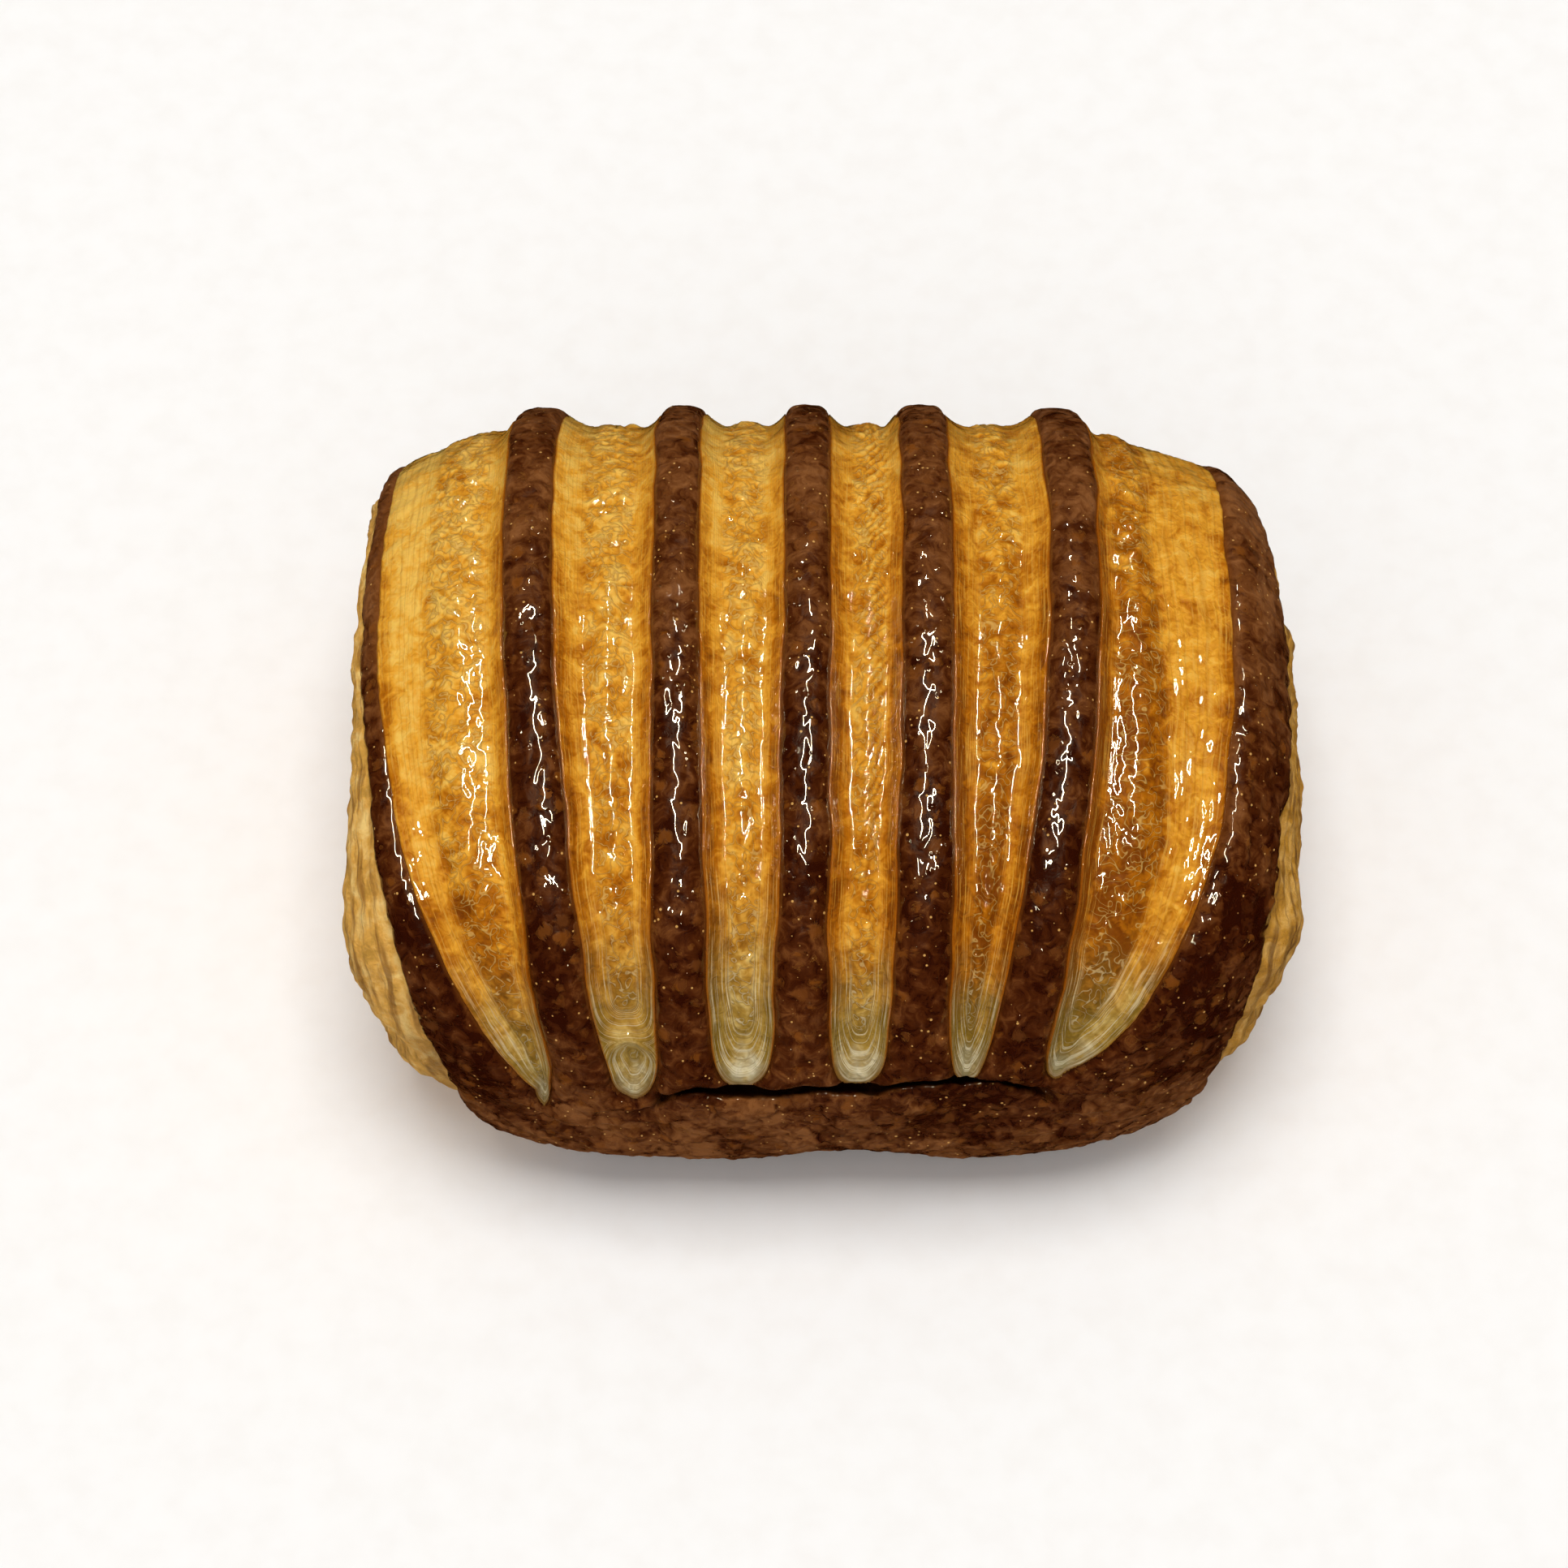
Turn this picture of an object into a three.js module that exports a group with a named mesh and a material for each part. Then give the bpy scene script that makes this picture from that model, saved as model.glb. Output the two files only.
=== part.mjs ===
// A baked pain au chocolat: one roll of laminated dough. Its dark chocolate wrap is slit into
// seven ribs, and six golden strips show sunk between them. The roll sits on its tail, which
// comes out in front as a lip under a crease, and its ends show the spiral of the layers.
//
// Millimetres, +Z up. X runs along the roll and the front faces -Y. The origin is on the resting
// face, below the middle of the roll. Arcs are measured round the roll from the crest, positive
// towards the front, and turns are the same in radians.

import * as THREE from 'three';

// Driving dimensions: the roll.
const HALF_LENGTH = 50;
const CREST_HEIGHT = 50.6;
const WIDEST_HEIGHT = 18.5;
const FRONT_REACH = 41;
const BACK_REACH = 42;
const UPPER_SQUARENESS = 2.45;
const LOWER_SQUARENESS = 3.1;
const BASE_CUT = 1.2;
const END_CENTRE_HEIGHT = 18;
const UNDERSIDE_LIFT = 0.35;
const FLAT_UNDER_FULLNESS = 0.55;

// How square the outline is along the roll, at four places round it, for the left and right ends.
const SQUARENESS = {
  left: { crest: 5.5, front: 3.85, under: 2.6, back: 5.8 },
  right: { crest: 4.6, front: 3.4, under: 3.1, back: 3.6 },
};

// How far out from the middle the dark wrap reaches, at four places round each end.
const WRAP_EDGE = {
  left: { crest: 48.4, front: 38.7, under: 23.5, back: 44.6 },
  right: { crest: 47.9, front: 41, under: 28, back: 44.5 },
};

// How far that edge draws in between the crest and the back.
const WRAP_EDGE_DIP = { left: 2.4, right: 2 };

// Driving dimensions: the ribs. Each line runs from its place on the back to its place at the
// front end of the slits, the bend says how late it swings over, and the width is a share of
// the usual one.
const SWING_START = -15;
const SWING_END = 50;
const TIP_SWING_END = 62;
const RIB_LINES = [
  { back: -31.2, front: -25.5, bend: 1.7, width: 1 },
  { back: -15.7, front: -14.4, bend: 1.5, width: 0.95 },
  { back: -2, front: -2.8, bend: 1, width: 0.93 },
  { back: 10.4, front: 8.9, bend: 1.5, width: 1 },
  { back: 25.6, front: 18.5, bend: 1.9, width: 1 },
];
const LEFT_END_LINE = { back: -47.4, front: -32.9, bend: 2.7 };
const RIGHT_END_LINE = { back: 42.1, front: 27, bend: 3.4 };
const RIB_HALF_WIDTH = { back: 2.65, front: 3 };
const BACK_TAPER = { share: 0.07, from: 30, to: 65 };
const LEAST_STRIP_WIDTH = 1.7;

// Driving dimensions: the golden strips between the ribs.
const STRIP_DEPTH = 2.2;
const SHOULDER = 0.6;
const SLOPE = 2.4;
const STRIP_FRONT_ENDS = [57.5, 53.2, 50, 49.7, 49.5, 50.7];
const FRONT_CAP = 5;
const STRIP_BACK_END = -62;
const BACK_CAP = 5;
const RIGHT_RAMP = { width: 8, keep: 0.15 };

// Driving dimensions: the crease over the tail, whose line runs through places along the roll
// and their arcs, and the lip below it with its two shallow dents.
const CREASE_LINE = [
  { x: -26, arc: 57 },
  { x: -17, arc: 53.5 },
  { x: -12, arc: 52.4 },
  { x: 5, arc: 52 },
  { x: 10, arc: 51.3 },
  { x: 17, arc: 51.5 },
  { x: 24, arc: 55 },
  { x: 30, arc: 57 },
];
const CREASE_DEPTH = 3.4;
const CREASE_TRACE = 0.4;
const CREASE_ABOVE = 2;
const CREASE_BELOW = 3;
const CREASE_SQUARENESS = 2.6;
const CREASE_SPAN = { leftEnd: -20, leftFull: -14, rightFull: 18, rightEnd: 26 };
const LIP_ARC = 71;
const LIP_RISE = 0.15;
const LIP_WIDTH = 8;
const LIP_DENTS = [
  { x: 15.5, arc: 56, along: 7.5, round: 4, depth: 0.9 },
  { x: 2, arc: 70, along: 8, round: 5, depth: 1.25 },
];

// Driving dimensions: the layers at the ends, as shares of the way from the wrap's edge inwards.
const TURNS_AT_END = 2.4;
const SEAM_ARC = 53;
const LAYER_GROOVE = 1.9;
const LAYER_ROUNDNESS = 0.85;
const WRAP_STEP = 1.2;
const WRAP_STEP_SHARE = 0.05;
const CORE_FADE = { from: 0.62, to: 0.86 };
const RING_SHARES = [0.02, 0.07, 0.13, 0.2, 0.28, 0.36, 0.44, 0.52, 0.61, 0.7, 0.8, 0.91];

// Driving dimensions: the hollow at each end of the two chocolate sticks inside the roll.
const STICK_HOLLOW = { reach: 9.5, height: 21, radius: 4.2, depth: 2 };

// Mesh spacing round the roll: rows are closer over the strip ends, crease and lip.
const ROW_COUNT = 66;
const CLOSE_ROWS = { arc: 53, width: 11, gain: 2.9 };
const RELAX = { front: 58, frontEnd: 80, back: -66, backEnd: -86 };
const SLOPE_MIDDLE = 0.4;
const LARGEST_SLOPE = 0.4;

const FULL_TURN = 2 * Math.PI;
const GIRTH_STEPS = 6000;
const PROBE = 0.05;
const PROBE_SHARE = 0.002;

function smooth(from, to, value) {
  const share = Math.min(1, Math.max(0, (value - from) / (to - from)));
  return share * share * (3 - 2 * share);
}

function mix(from, to, share) {
  return from + (to - from) * share;
}

// A value that runs smoothly round the roll through its four named places.
function around(turn, { crest, front, under, back }) {
  const mean = (crest + front + under + back) / 4;
  const upAndDown = (crest - under) / 2;
  const frontAndBack = (front - back) / 2;
  const crosswise = (crest + under - front - back) / 4;
  return mean + upAndDown * Math.cos(turn) + frontAndBack * Math.sin(turn)
    + crosswise * Math.cos(2 * turn);
}

// The outline of the roll's middle, a superellipse whose lower half is squarer.
function section(turn) {
  const across = Math.sin(turn);
  const up = Math.cos(turn);
  const reach = across > 0 ? FRONT_REACH : BACK_REACH;
  const squareness = up >= 0 ? UPPER_SQUARENESS : LOWER_SQUARENESS;
  const tall = up >= 0 ? CREST_HEIGHT - WIDEST_HEIGHT : WIDEST_HEIGHT + BASE_CUT;
  return {
    y: -Math.sign(across) * reach * Math.abs(across) ** (2 / squareness),
    z: WIDEST_HEIGHT + Math.sign(up) * tall * Math.abs(up) ** (2 / squareness),
  };
}

// The arc from the crest at evenly spaced turns, and the way back from an arc to its turn.
function measureGirth() {
  const turns = [];
  const arcs = [];
  let last = section(-Math.PI);
  let length = 0;
  for (let step = 0; step <= GIRTH_STEPS; step += 1) {
    const turn = -Math.PI + (FULL_TURN * step) / GIRTH_STEPS;
    const point = section(turn);
    length += Math.hypot(point.y - last.y, point.z - last.z);
    turns.push(turn);
    arcs.push(length);
    last = point;
  }
  const crest = arcs[GIRTH_STEPS / 2];
  return { turns, arcs: arcs.map((arc) => arc - crest), length };
}

const girth = measureGirth();
const firstArc = girth.arcs[0];

function wrapArc(arc) {
  const turned = (arc - firstArc) % girth.length;
  return firstArc + (turned < 0 ? turned + girth.length : turned);
}

function turnAt(arc) {
  const target = wrapArc(arc);
  let low = 0;
  let high = GIRTH_STEPS;
  while (high - low > 1) {
    const middle = Math.floor((low + high) / 2);
    if (girth.arcs[middle] <= target) {
      low = middle;
    } else {
      high = middle;
    }
  }
  const span = girth.arcs[high] - girth.arcs[low];
  const share = span > 0 ? (target - girth.arcs[low]) / span : 0;
  return mix(girth.turns[low], girth.turns[high], share);
}

function sideOf(x) {
  return x < 0 ? 'left' : 'right';
}

function edgeAt(side, turn) {
  const behind = Math.min(0, Math.max(-Math.PI / 2, turn));
  const dip = WRAP_EDGE_DIP[side] * Math.sin(2 * behind) ** 2;
  return around(turn, WRAP_EDGE[side]) - dip;
}

// How full the section still is at a place along the roll: 1 in the middle, 0 at the tips.
function fullnessAt(x, turn) {
  const squareness = around(turn, SQUARENESS[sideOf(x)]);
  const share = Math.min(1, Math.abs(x) / HALF_LENGTH);
  return (1 - share ** squareness) ** (1 / squareness);
}

// A point of the plain roll. The underside rises less than the sides draw in, so it stays flat.
function rollPoint(turn, x, fullness) {
  const { y, z } = section(turn);
  const body = smooth(0, FLAT_UNDER_FULLNESS, fullness);
  const lowered = mix(fullness, 1 - (1 - fullness) * UNDERSIDE_LIFT, body);
  const rise = z > END_CENTRE_HEIGHT ? fullness : lowered;
  return new THREE.Vector3(x, y * fullness, END_CENTRE_HEIGHT + (z - END_CENTRE_HEIGHT) * rise);
}

function wrapSurface(arc, x) {
  const turn = turnAt(arc);
  return rollPoint(turn, x, fullnessAt(x, turn));
}

// The end faces: a share of 0 is the wrap's edge and 1 is the tip of the roll.
function endSurface(side, arc, share) {
  const turn = turnAt(arc);
  const edge = edgeAt(side, turn);
  const squareness = around(turn, SQUARENESS[side]);
  const fullness = fullnessAt(side === 'left' ? -edge : edge, turn) * (1 - share);
  const reach = HALF_LENGTH * (1 - fullness ** squareness) ** (1 / squareness);
  return rollPoint(turn, side === 'left' ? -reach : reach, fullness);
}

// Moves a point of a surface outwards along its own normal, and keeps it above the resting face.
function raised(surface, first, second, probes, height) {
  const alongFirst = surface(first + probes[0], second).sub(surface(first - probes[0], second));
  const alongSecond = surface(first, second + probes[1]).sub(surface(first, second - probes[1]));
  const normal = alongFirst.cross(alongSecond).normalize();
  const point = surface(first, second).addScaledVector(normal, height);
  point.z = Math.max(0, point.z);
  return point;
}

// Where a line along the ribs lies at an arc.
function lineAt(line, arc, swingEnd = SWING_END) {
  const swung = Math.max(0, Math.min(arc, swingEnd) - SWING_START) / (SWING_END - SWING_START);
  return mix(line.back, line.front, swung ** line.bend);
}

// The two side lines of each golden strip at an arc, from left to right.
function stripLines(arc) {
  const half = mix(RIB_HALF_WIDTH.back, RIB_HALF_WIDTH.front, smooth(SWING_START, SWING_END, arc));
  const taper = 1 - BACK_TAPER.share * smooth(BACK_TAPER.from, BACK_TAPER.to, -arc);
  const lines = [lineAt(LEFT_END_LINE, arc, TIP_SWING_END)];
  for (const rib of RIB_LINES) {
    const centre = lineAt(rib, arc);
    lines.push(centre - half * rib.width, centre + half * rib.width);
  }
  lines.push(lineAt(RIGHT_END_LINE, arc));
  lines[0] = Math.min(lines[0], lines[1] - LEAST_STRIP_WIDTH);
  return lines.map((line) => line * taper);
}

// How far a place is inside a strip with its round ends; negative on the ribs.
function depthIntoStrip(index, lines, arc, x) {
  const centre = (lines[2 * index] + lines[2 * index + 1]) / 2;
  const half = (lines[2 * index + 1] - lines[2 * index]) / 2;
  const pastFront = Math.max(0, arc - (STRIP_FRONT_ENDS[index] - FRONT_CAP)) / FRONT_CAP;
  const pastBack = Math.max(0, STRIP_BACK_END + BACK_CAP - arc) / BACK_CAP;
  return half - Math.hypot(x - centre, pastFront * half, pastBack * half);
}

// The sunk strips: a cut slope falls from each rib's shoulder to the strip's floor. The last
// strip climbs slowly, over its wide layered side, to the right end.
function stripRelief(arc, x) {
  const lines = stripLines(arc);
  let inside = -SHOULDER;
  for (let index = 0; index < STRIP_FRONT_ENDS.length; index += 1) {
    inside = Math.max(inside, depthIntoStrip(index, lines, arc, x));
  }
  const lastLine = lines[lines.length - 1];
  const climb = 1 - (1 - RIGHT_RAMP.keep) * smooth(lastLine - RIGHT_RAMP.width, lastLine, x);
  return -STRIP_DEPTH * climb * smooth(-SHOULDER, SLOPE, inside);
}

// The arc of the crease's line at a place along the roll.
function creaseArc(x) {
  const past = CREASE_LINE.findIndex((point) => point.x > x);
  if (past === 0) {
    return CREASE_LINE[0].arc;
  }
  if (past < 0) {
    return CREASE_LINE[CREASE_LINE.length - 1].arc;
  }
  const before = CREASE_LINE[past - 1];
  const after = CREASE_LINE[past];
  return mix(before.arc, after.arc, (x - before.x) / (after.x - before.x));
}

// The crease where the roll overhangs its tail. It is open in the middle and fades to a trace.
function creaseRelief(arc, x) {
  const open = smooth(CREASE_SPAN.leftEnd, CREASE_SPAN.leftFull, x)
    - smooth(CREASE_SPAN.rightFull, CREASE_SPAN.rightEnd, x);
  const away = arc - creaseArc(x);
  const width = away < 0 ? CREASE_ABOVE : CREASE_BELOW;
  const fall = Math.exp(-(Math.abs(away / width) ** CREASE_SQUARENESS));
  return -(CREASE_TRACE + CREASE_DEPTH * open) * fall;
}

function lipRelief(arc, x) {
  let relief = LIP_RISE * Math.exp(-(((arc - LIP_ARC) / LIP_WIDTH) ** 2));
  for (const dent of LIP_DENTS) {
    const away = Math.hypot((x - dent.x) / dent.along, (arc - dent.arc) / dent.round);
    relief -= dent.depth * Math.exp(-(away ** 2));
  }
  return relief;
}

// The layers at an end: puffed turns of a spiral that starts at the crease and runs in under the
// roll, set back from the wrap by a step, with a hollow before each chocolate stick.
function endRelief(side, arc, share) {
  const phase = TURNS_AT_END * share - (turnAt(arc) - turnAt(SEAM_ARC)) / FULL_TURN;
  const puff = Math.abs(Math.sin(Math.PI * phase)) ** LAYER_ROUNDNESS;
  const fade = 1 - smooth(CORE_FADE.from, CORE_FADE.to, share);
  const step = WRAP_STEP * Math.exp(-((share / WRAP_STEP_SHARE) ** 2));
  const { y, z } = endSurface(side, arc, share);
  const away = Math.hypot(Math.abs(y) - STICK_HOLLOW.reach, z - STICK_HOLLOW.height);
  const hollow = STICK_HOLLOW.depth * Math.exp(-((away / STICK_HOLLOW.radius) ** 2));
  const groove = LAYER_GROOVE * (1 - puff) * fade;
  return -Math.max(step, groove) - hollow;
}

// Arcs of the rows round the roll, spaced by a density that peaks over the strip ends and crease.
function rowArcs() {
  const density = (arc) => {
    const away = (arc - CLOSE_ROWS.arc) / CLOSE_ROWS.width;
    return 1 + CLOSE_ROWS.gain * Math.exp(-away * away);
  };
  const stepLength = girth.length / GIRTH_STEPS;
  let total = 0;
  for (let step = 0; step < GIRTH_STEPS; step += 1) {
    total += density(firstArc + step * stepLength);
  }
  const rows = [];
  let sum = 0;
  for (let step = 0; step < GIRTH_STEPS && rows.length < ROW_COUNT; step += 1) {
    if (sum >= (rows.length * total) / ROW_COUNT) {
      rows.push(firstArc + step * stepLength);
    }
    sum += density(firstArc + step * stepLength);
  }
  return rows;
}

// Places of the wrap's columns in one row. They follow the strips' sides, and spread out evenly
// under the roll, where there are no strips.
function wrapColumns(arc) {
  const turn = turnAt(arc);
  const leftEdge = -edgeAt('left', turn);
  const rightEdge = edgeAt('right', turn);
  const lines = stripLines(arc);
  const columns = [leftEdge, mix(leftEdge, lines[0] - SHOULDER, 1 / 2)];
  for (let index = 0; index < STRIP_FRONT_ENDS.length; index += 1) {
    const left = lines[2 * index];
    const right = lines[2 * index + 1];
    const slope = Math.min(SLOPE, LARGEST_SLOPE * (right - left));
    columns.push(left - SHOULDER, left + SLOPE_MIDDLE * slope, left + slope);
    columns.push((left + right) / 2);
    columns.push(right - slope, right - SLOPE_MIDDLE * slope, right + SHOULDER);
  }
  const lastLine = lines[lines.length - 1] + SHOULDER;
  columns.push(mix(lastLine, rightEdge, 1 / 3), mix(lastLine, rightEdge, 2 / 3), rightEdge);
  const relaxed = smooth(RELAX.front, RELAX.frontEnd, arc) + smooth(-RELAX.back, -RELAX.backEnd, -arc);
  return columns.map((x, index) => {
    const even = mix(leftEdge, rightEdge, index / (columns.length - 1));
    return mix(x, even, relaxed);
  });
}

// One ring of points round the roll's skin, from the left tip to the right, for one row.
function rowPoints(arc) {
  const endPoints = (side) => RING_SHARES.map((share) => {
    const surface = (anyArc, anyShare) => endSurface(side, anyArc, anyShare);
    const outward = side === 'left' ? -1 : 1;
    const height = outward * endRelief(side, arc, share);
    return raised(surface, arc, share, [PROBE, PROBE_SHARE], height);
  });
  const wrapPoints = wrapColumns(arc).map((x) => {
    const height = stripRelief(arc, x) + creaseRelief(arc, x) + lipRelief(arc, x);
    return raised(wrapSurface, arc, x, [PROBE, PROBE], height);
  });
  return [...endPoints('left').reverse(), ...wrapPoints, ...endPoints('right')];
}

// Joins the rows into one closed skin with a fan at each tip.
function rollGeometry() {
  const rows = rowArcs().map(rowPoints);
  const width = rows[0].length;
  const points = rows.flat();
  const leftTip = points.length;
  const rightTip = leftTip + 1;
  points.push(
    new THREE.Vector3(-HALF_LENGTH, 0, END_CENTRE_HEIGHT),
    new THREE.Vector3(HALF_LENGTH, 0, END_CENTRE_HEIGHT),
  );
  const faces = [];
  for (let row = 0; row < rows.length; row += 1) {
    const here = row * width;
    const next = ((row + 1) % rows.length) * width;
    for (let column = 0; column < width - 1; column += 1) {
      faces.push(here + column, next + column, next + column + 1);
      faces.push(here + column, next + column + 1, here + column + 1);
    }
    faces.push(leftTip, next, here);
    faces.push(rightTip, here + width - 1, next + width - 1);
  }
  const geometry = new THREE.BufferGeometry().setFromPoints(points);
  geometry.setIndex(faces);
  geometry.computeBoundingBox();
  const centre = geometry.boundingBox.getCenter(new THREE.Vector3());
  geometry.translate(-centre.x, -centre.y, -geometry.boundingBox.min.z);
  geometry.computeVertexNormals();
  return geometry;
}

const crust = new THREE.MeshStandardMaterial({ color: 0x6b3a1c, roughness: 0.4, metalness: 0 });
const roll = new THREE.Mesh(rollGeometry(), crust);
roll.name = 'pastry';

const painAuChocolat = new THREE.Group();
painAuChocolat.add(roll);

export default painAuChocolat;
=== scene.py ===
"""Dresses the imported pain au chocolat: dark wrap, golden strips, layered ends, and a plain studio.

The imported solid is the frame. The wrap, the strips and the ends are closed meshes that follow its
form, with the crust's finer relief in the mesh and its finest grain in the materials.

The shapes are worked out in millimetres and turned to metres where a mesh is made. An arc is
measured round the roll from its crest, positive towards the front, and a turn is the same in
radians. X runs along the roll and the front faces -Y.
"""

import itertools
import logging
import math
from collections.abc import Callable
from dataclasses import dataclass, field
from enum import Enum, IntEnum
from functools import cached_property, partial

import bpy
import numpy as np
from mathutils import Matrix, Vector


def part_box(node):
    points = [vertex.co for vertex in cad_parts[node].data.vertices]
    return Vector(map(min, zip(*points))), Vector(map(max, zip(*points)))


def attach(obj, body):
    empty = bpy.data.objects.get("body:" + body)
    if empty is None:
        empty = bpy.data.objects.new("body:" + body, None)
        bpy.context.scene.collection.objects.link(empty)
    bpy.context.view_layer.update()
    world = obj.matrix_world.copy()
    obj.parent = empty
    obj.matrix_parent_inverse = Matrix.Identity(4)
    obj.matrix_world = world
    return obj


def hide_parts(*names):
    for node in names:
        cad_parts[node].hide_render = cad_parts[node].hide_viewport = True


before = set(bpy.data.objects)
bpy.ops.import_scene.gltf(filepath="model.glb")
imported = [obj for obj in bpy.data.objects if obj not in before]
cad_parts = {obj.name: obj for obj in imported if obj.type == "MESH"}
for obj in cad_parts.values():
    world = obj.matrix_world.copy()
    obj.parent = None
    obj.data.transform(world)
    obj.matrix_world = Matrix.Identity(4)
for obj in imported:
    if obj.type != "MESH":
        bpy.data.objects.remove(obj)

LOG = logging.getLogger("pain_au_chocolat")
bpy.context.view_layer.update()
MM = 0.001
FULL_TURN = 2.0 * math.pi
FAR_OUTSIDE = -9.0
NODE = "pastry"
BODY = "root"

Array = np.ndarray
Node = bpy.types.Node
Piece = bpy.types.Object
Finish = bpy.types.Material
# A pair is a start and a stop, a place and a width, or a value for each of two ways.
Pair = tuple[float, float]
# A surface gives a point, in millimetres, for its two coordinates.
Surface = Callable[[Array, Array], Array]
# A span is a range of a value and the two amounts that its ends are turned into.
Span = tuple[float, float, float, float]
# What a node's input can be linked to.
Source = bpy.types.NodeSocket | Node

ADD = {"operation": "ADD"}
SUBTRACT = {"operation": "SUBTRACT"}
CLAMPED_SUBTRACT = {"operation": "SUBTRACT", "use_clamp": True}
MULTIPLY = {"operation": "MULTIPLY"}
MULTIPLY_ADD = {"operation": "MULTIPLY_ADD"}
MINIMUM = {"operation": "MINIMUM"}
ABSOLUTE = {"operation": "ABSOLUTE"}
EASED = {"interpolation_type": "SMOOTHSTEP"}
COLOURS = {"data_type": "RGBA"}

# Baked dough is dull where it is bare, and warm light passes a little way into its crumb.
DOUGH_IOR = 1.4
BARE_GLOSS = 0.06
CRUMB_GLOW_MM = 1.0
CRUMB_GLOW = (1.0, 0.55, 0.2)
# Syrup dried to a hard, clear sugar glass.
GLAZE_IOR = 1.6
GLAZE_ROUGHNESS = 0.02


class Slot(Enum):
    """The record's material slots."""

    CHOCOLATE = "chocolate_crust"
    GOLDEN = "golden_crust"
    LAYERS = "layered_ends"


class Side(Enum):
    """The two ends of the roll, as signs along X."""

    LEFT = -1
    RIGHT = 1


class Seed(IntEnum):
    """The seeds of the random forms. A strip's own forms add its index."""

    LINES = 11
    CREASE = 23
    GAPE = 27
    TRAILS = 29
    EDGES = 31
    LUMPS = 41
    BLISTERS = 43
    WRINKLES = 47
    HIDE = 53
    FLAPS = 59
    RIM = 61
    CRINKLES = 61
    FLAKES = 67
    TURNS = 71
    CRUMB = 73
    LOBES = 75
    SHEETS = 81
    PATCHES = 91
    RAW = 101


def smooth(start: float, stop: float, value: Array) -> Array:
    """Eases from 0 at start to 1 at stop.

    Args:
        start: Value where the ease begins.
        stop: Value where it ends.
        value: Values to ease.

    Returns:
        The eased shares.
    """
    share = np.clip((value - start) / (stop - start), 0.0, 1.0)
    return share * share * (3.0 - 2.0 * share)


def bell(value: Array, centre: float, width: float) -> Array:
    """A bell of height 1 round a centre.

    Args:
        value: Values to weigh.
        centre: Where the bell peaks.
        width: Distance at which it has fallen to about a third.

    Returns:
        The bell's heights.
    """
    return np.exp(-(((value - centre) / width) ** 2))


def mix(first: Array, second: Array, share: Array) -> Array:
    """Blends two values by a share.

    Args:
        first: Value at share 0.
        second: Value at share 1.
        share: The share.

    Returns:
        The blend.
    """
    return first + (second - first) * share


@dataclass(frozen=True)
class Grain:
    """Smooth seeded noise, between about -1 and 1, whose lumps are about one unit across.

    A bare number among its coordinates picks a slice of the noise and measures nothing.
    """

    seed: int
    size: int = 256
    gain: float = 1.7
    layer_shift: float = 7.3

    @cached_property
    def order(self) -> Array:
        """A shuffled lattice order."""
        return np.random.default_rng(self.seed).permutation(self.size)

    @cached_property
    def directions(self) -> Array:
        """One slope direction for each entry of the order."""
        raw = np.random.default_rng(self.seed + 1).normal(size=(self.size, 3))
        return raw / np.linalg.norm(raw, axis=1, keepdims=True)

    def at(self, u: Array, v: Array, w: Array = 0.0) -> Array:
        """Reads the noise.

        Args:
            u: First coordinates, in lumps.
            v: Second coordinates, in lumps.
            w: Third coordinates, in lumps.

        Returns:
            The noise values.
        """
        coordinates = np.broadcast_arrays(u, v, w)
        cells = [np.floor(c).astype(int) for c in coordinates]
        inside = [c - cell for c, cell in zip(coordinates, cells)]
        eased = [t * t * t * (t * (t * 6.0 - 15.0) + 10.0) for t in inside]
        total = np.zeros(coordinates[0].shape)
        for corner in itertools.product((0, 1), repeat=3):
            index = self.order[(cells[0] + corner[0]) % self.size]
            index = self.order[(index + cells[1] + corner[1]) % self.size]
            index = self.order[(index + cells[2] + corner[2]) % self.size]
            slope = self.directions[index]
            height = sum(slope[..., k] * (inside[k] - corner[k]) for k in range(3))
            weight = 1.0
            for k in range(3):
                weight = weight * (eased[k] if corner[k] else 1.0 - eased[k])
            total += weight * height
        return total * self.gain

    def rough(self, u: Array, v: Array, w: Array = 0.0, layers: int = 2) -> Array:
        """Adds finer and lower layers of the noise.

        Args:
            u: First coordinates, in lumps.
            v: Second coordinates, in lumps.
            w: Third coordinates, in lumps.
            layers: How many layers to add.

        Returns:
            The summed noise.
        """
        total = 0.0
        for layer in range(layers):
            finer = 2.0**layer
            total = total + self.at(u * finer, v * finer, w * finer + self.layer_shift * layer) / finer
        return total


@dataclass(frozen=True)
class Places:
    """A value's four named places round the roll."""

    crest: float
    front: float
    under: float
    back: float

    def at(self, turn: Array) -> Array:
        """Runs smoothly through the four places.

        Args:
            turn: Turns round the roll.

        Returns:
            The value at those turns.
        """
        mean = (self.crest + self.front + self.under + self.back) / 4.0
        up_down = (self.crest - self.under) / 2.0
        front_back = (self.front - self.back) / 2.0
        crosswise = (self.crest + self.under - self.front - self.back) / 4.0
        return (
            mean
            + up_down * np.cos(turn)
            + front_back * np.sin(turn)
            + crosswise * np.cos(2.0 * turn)
        )


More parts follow.
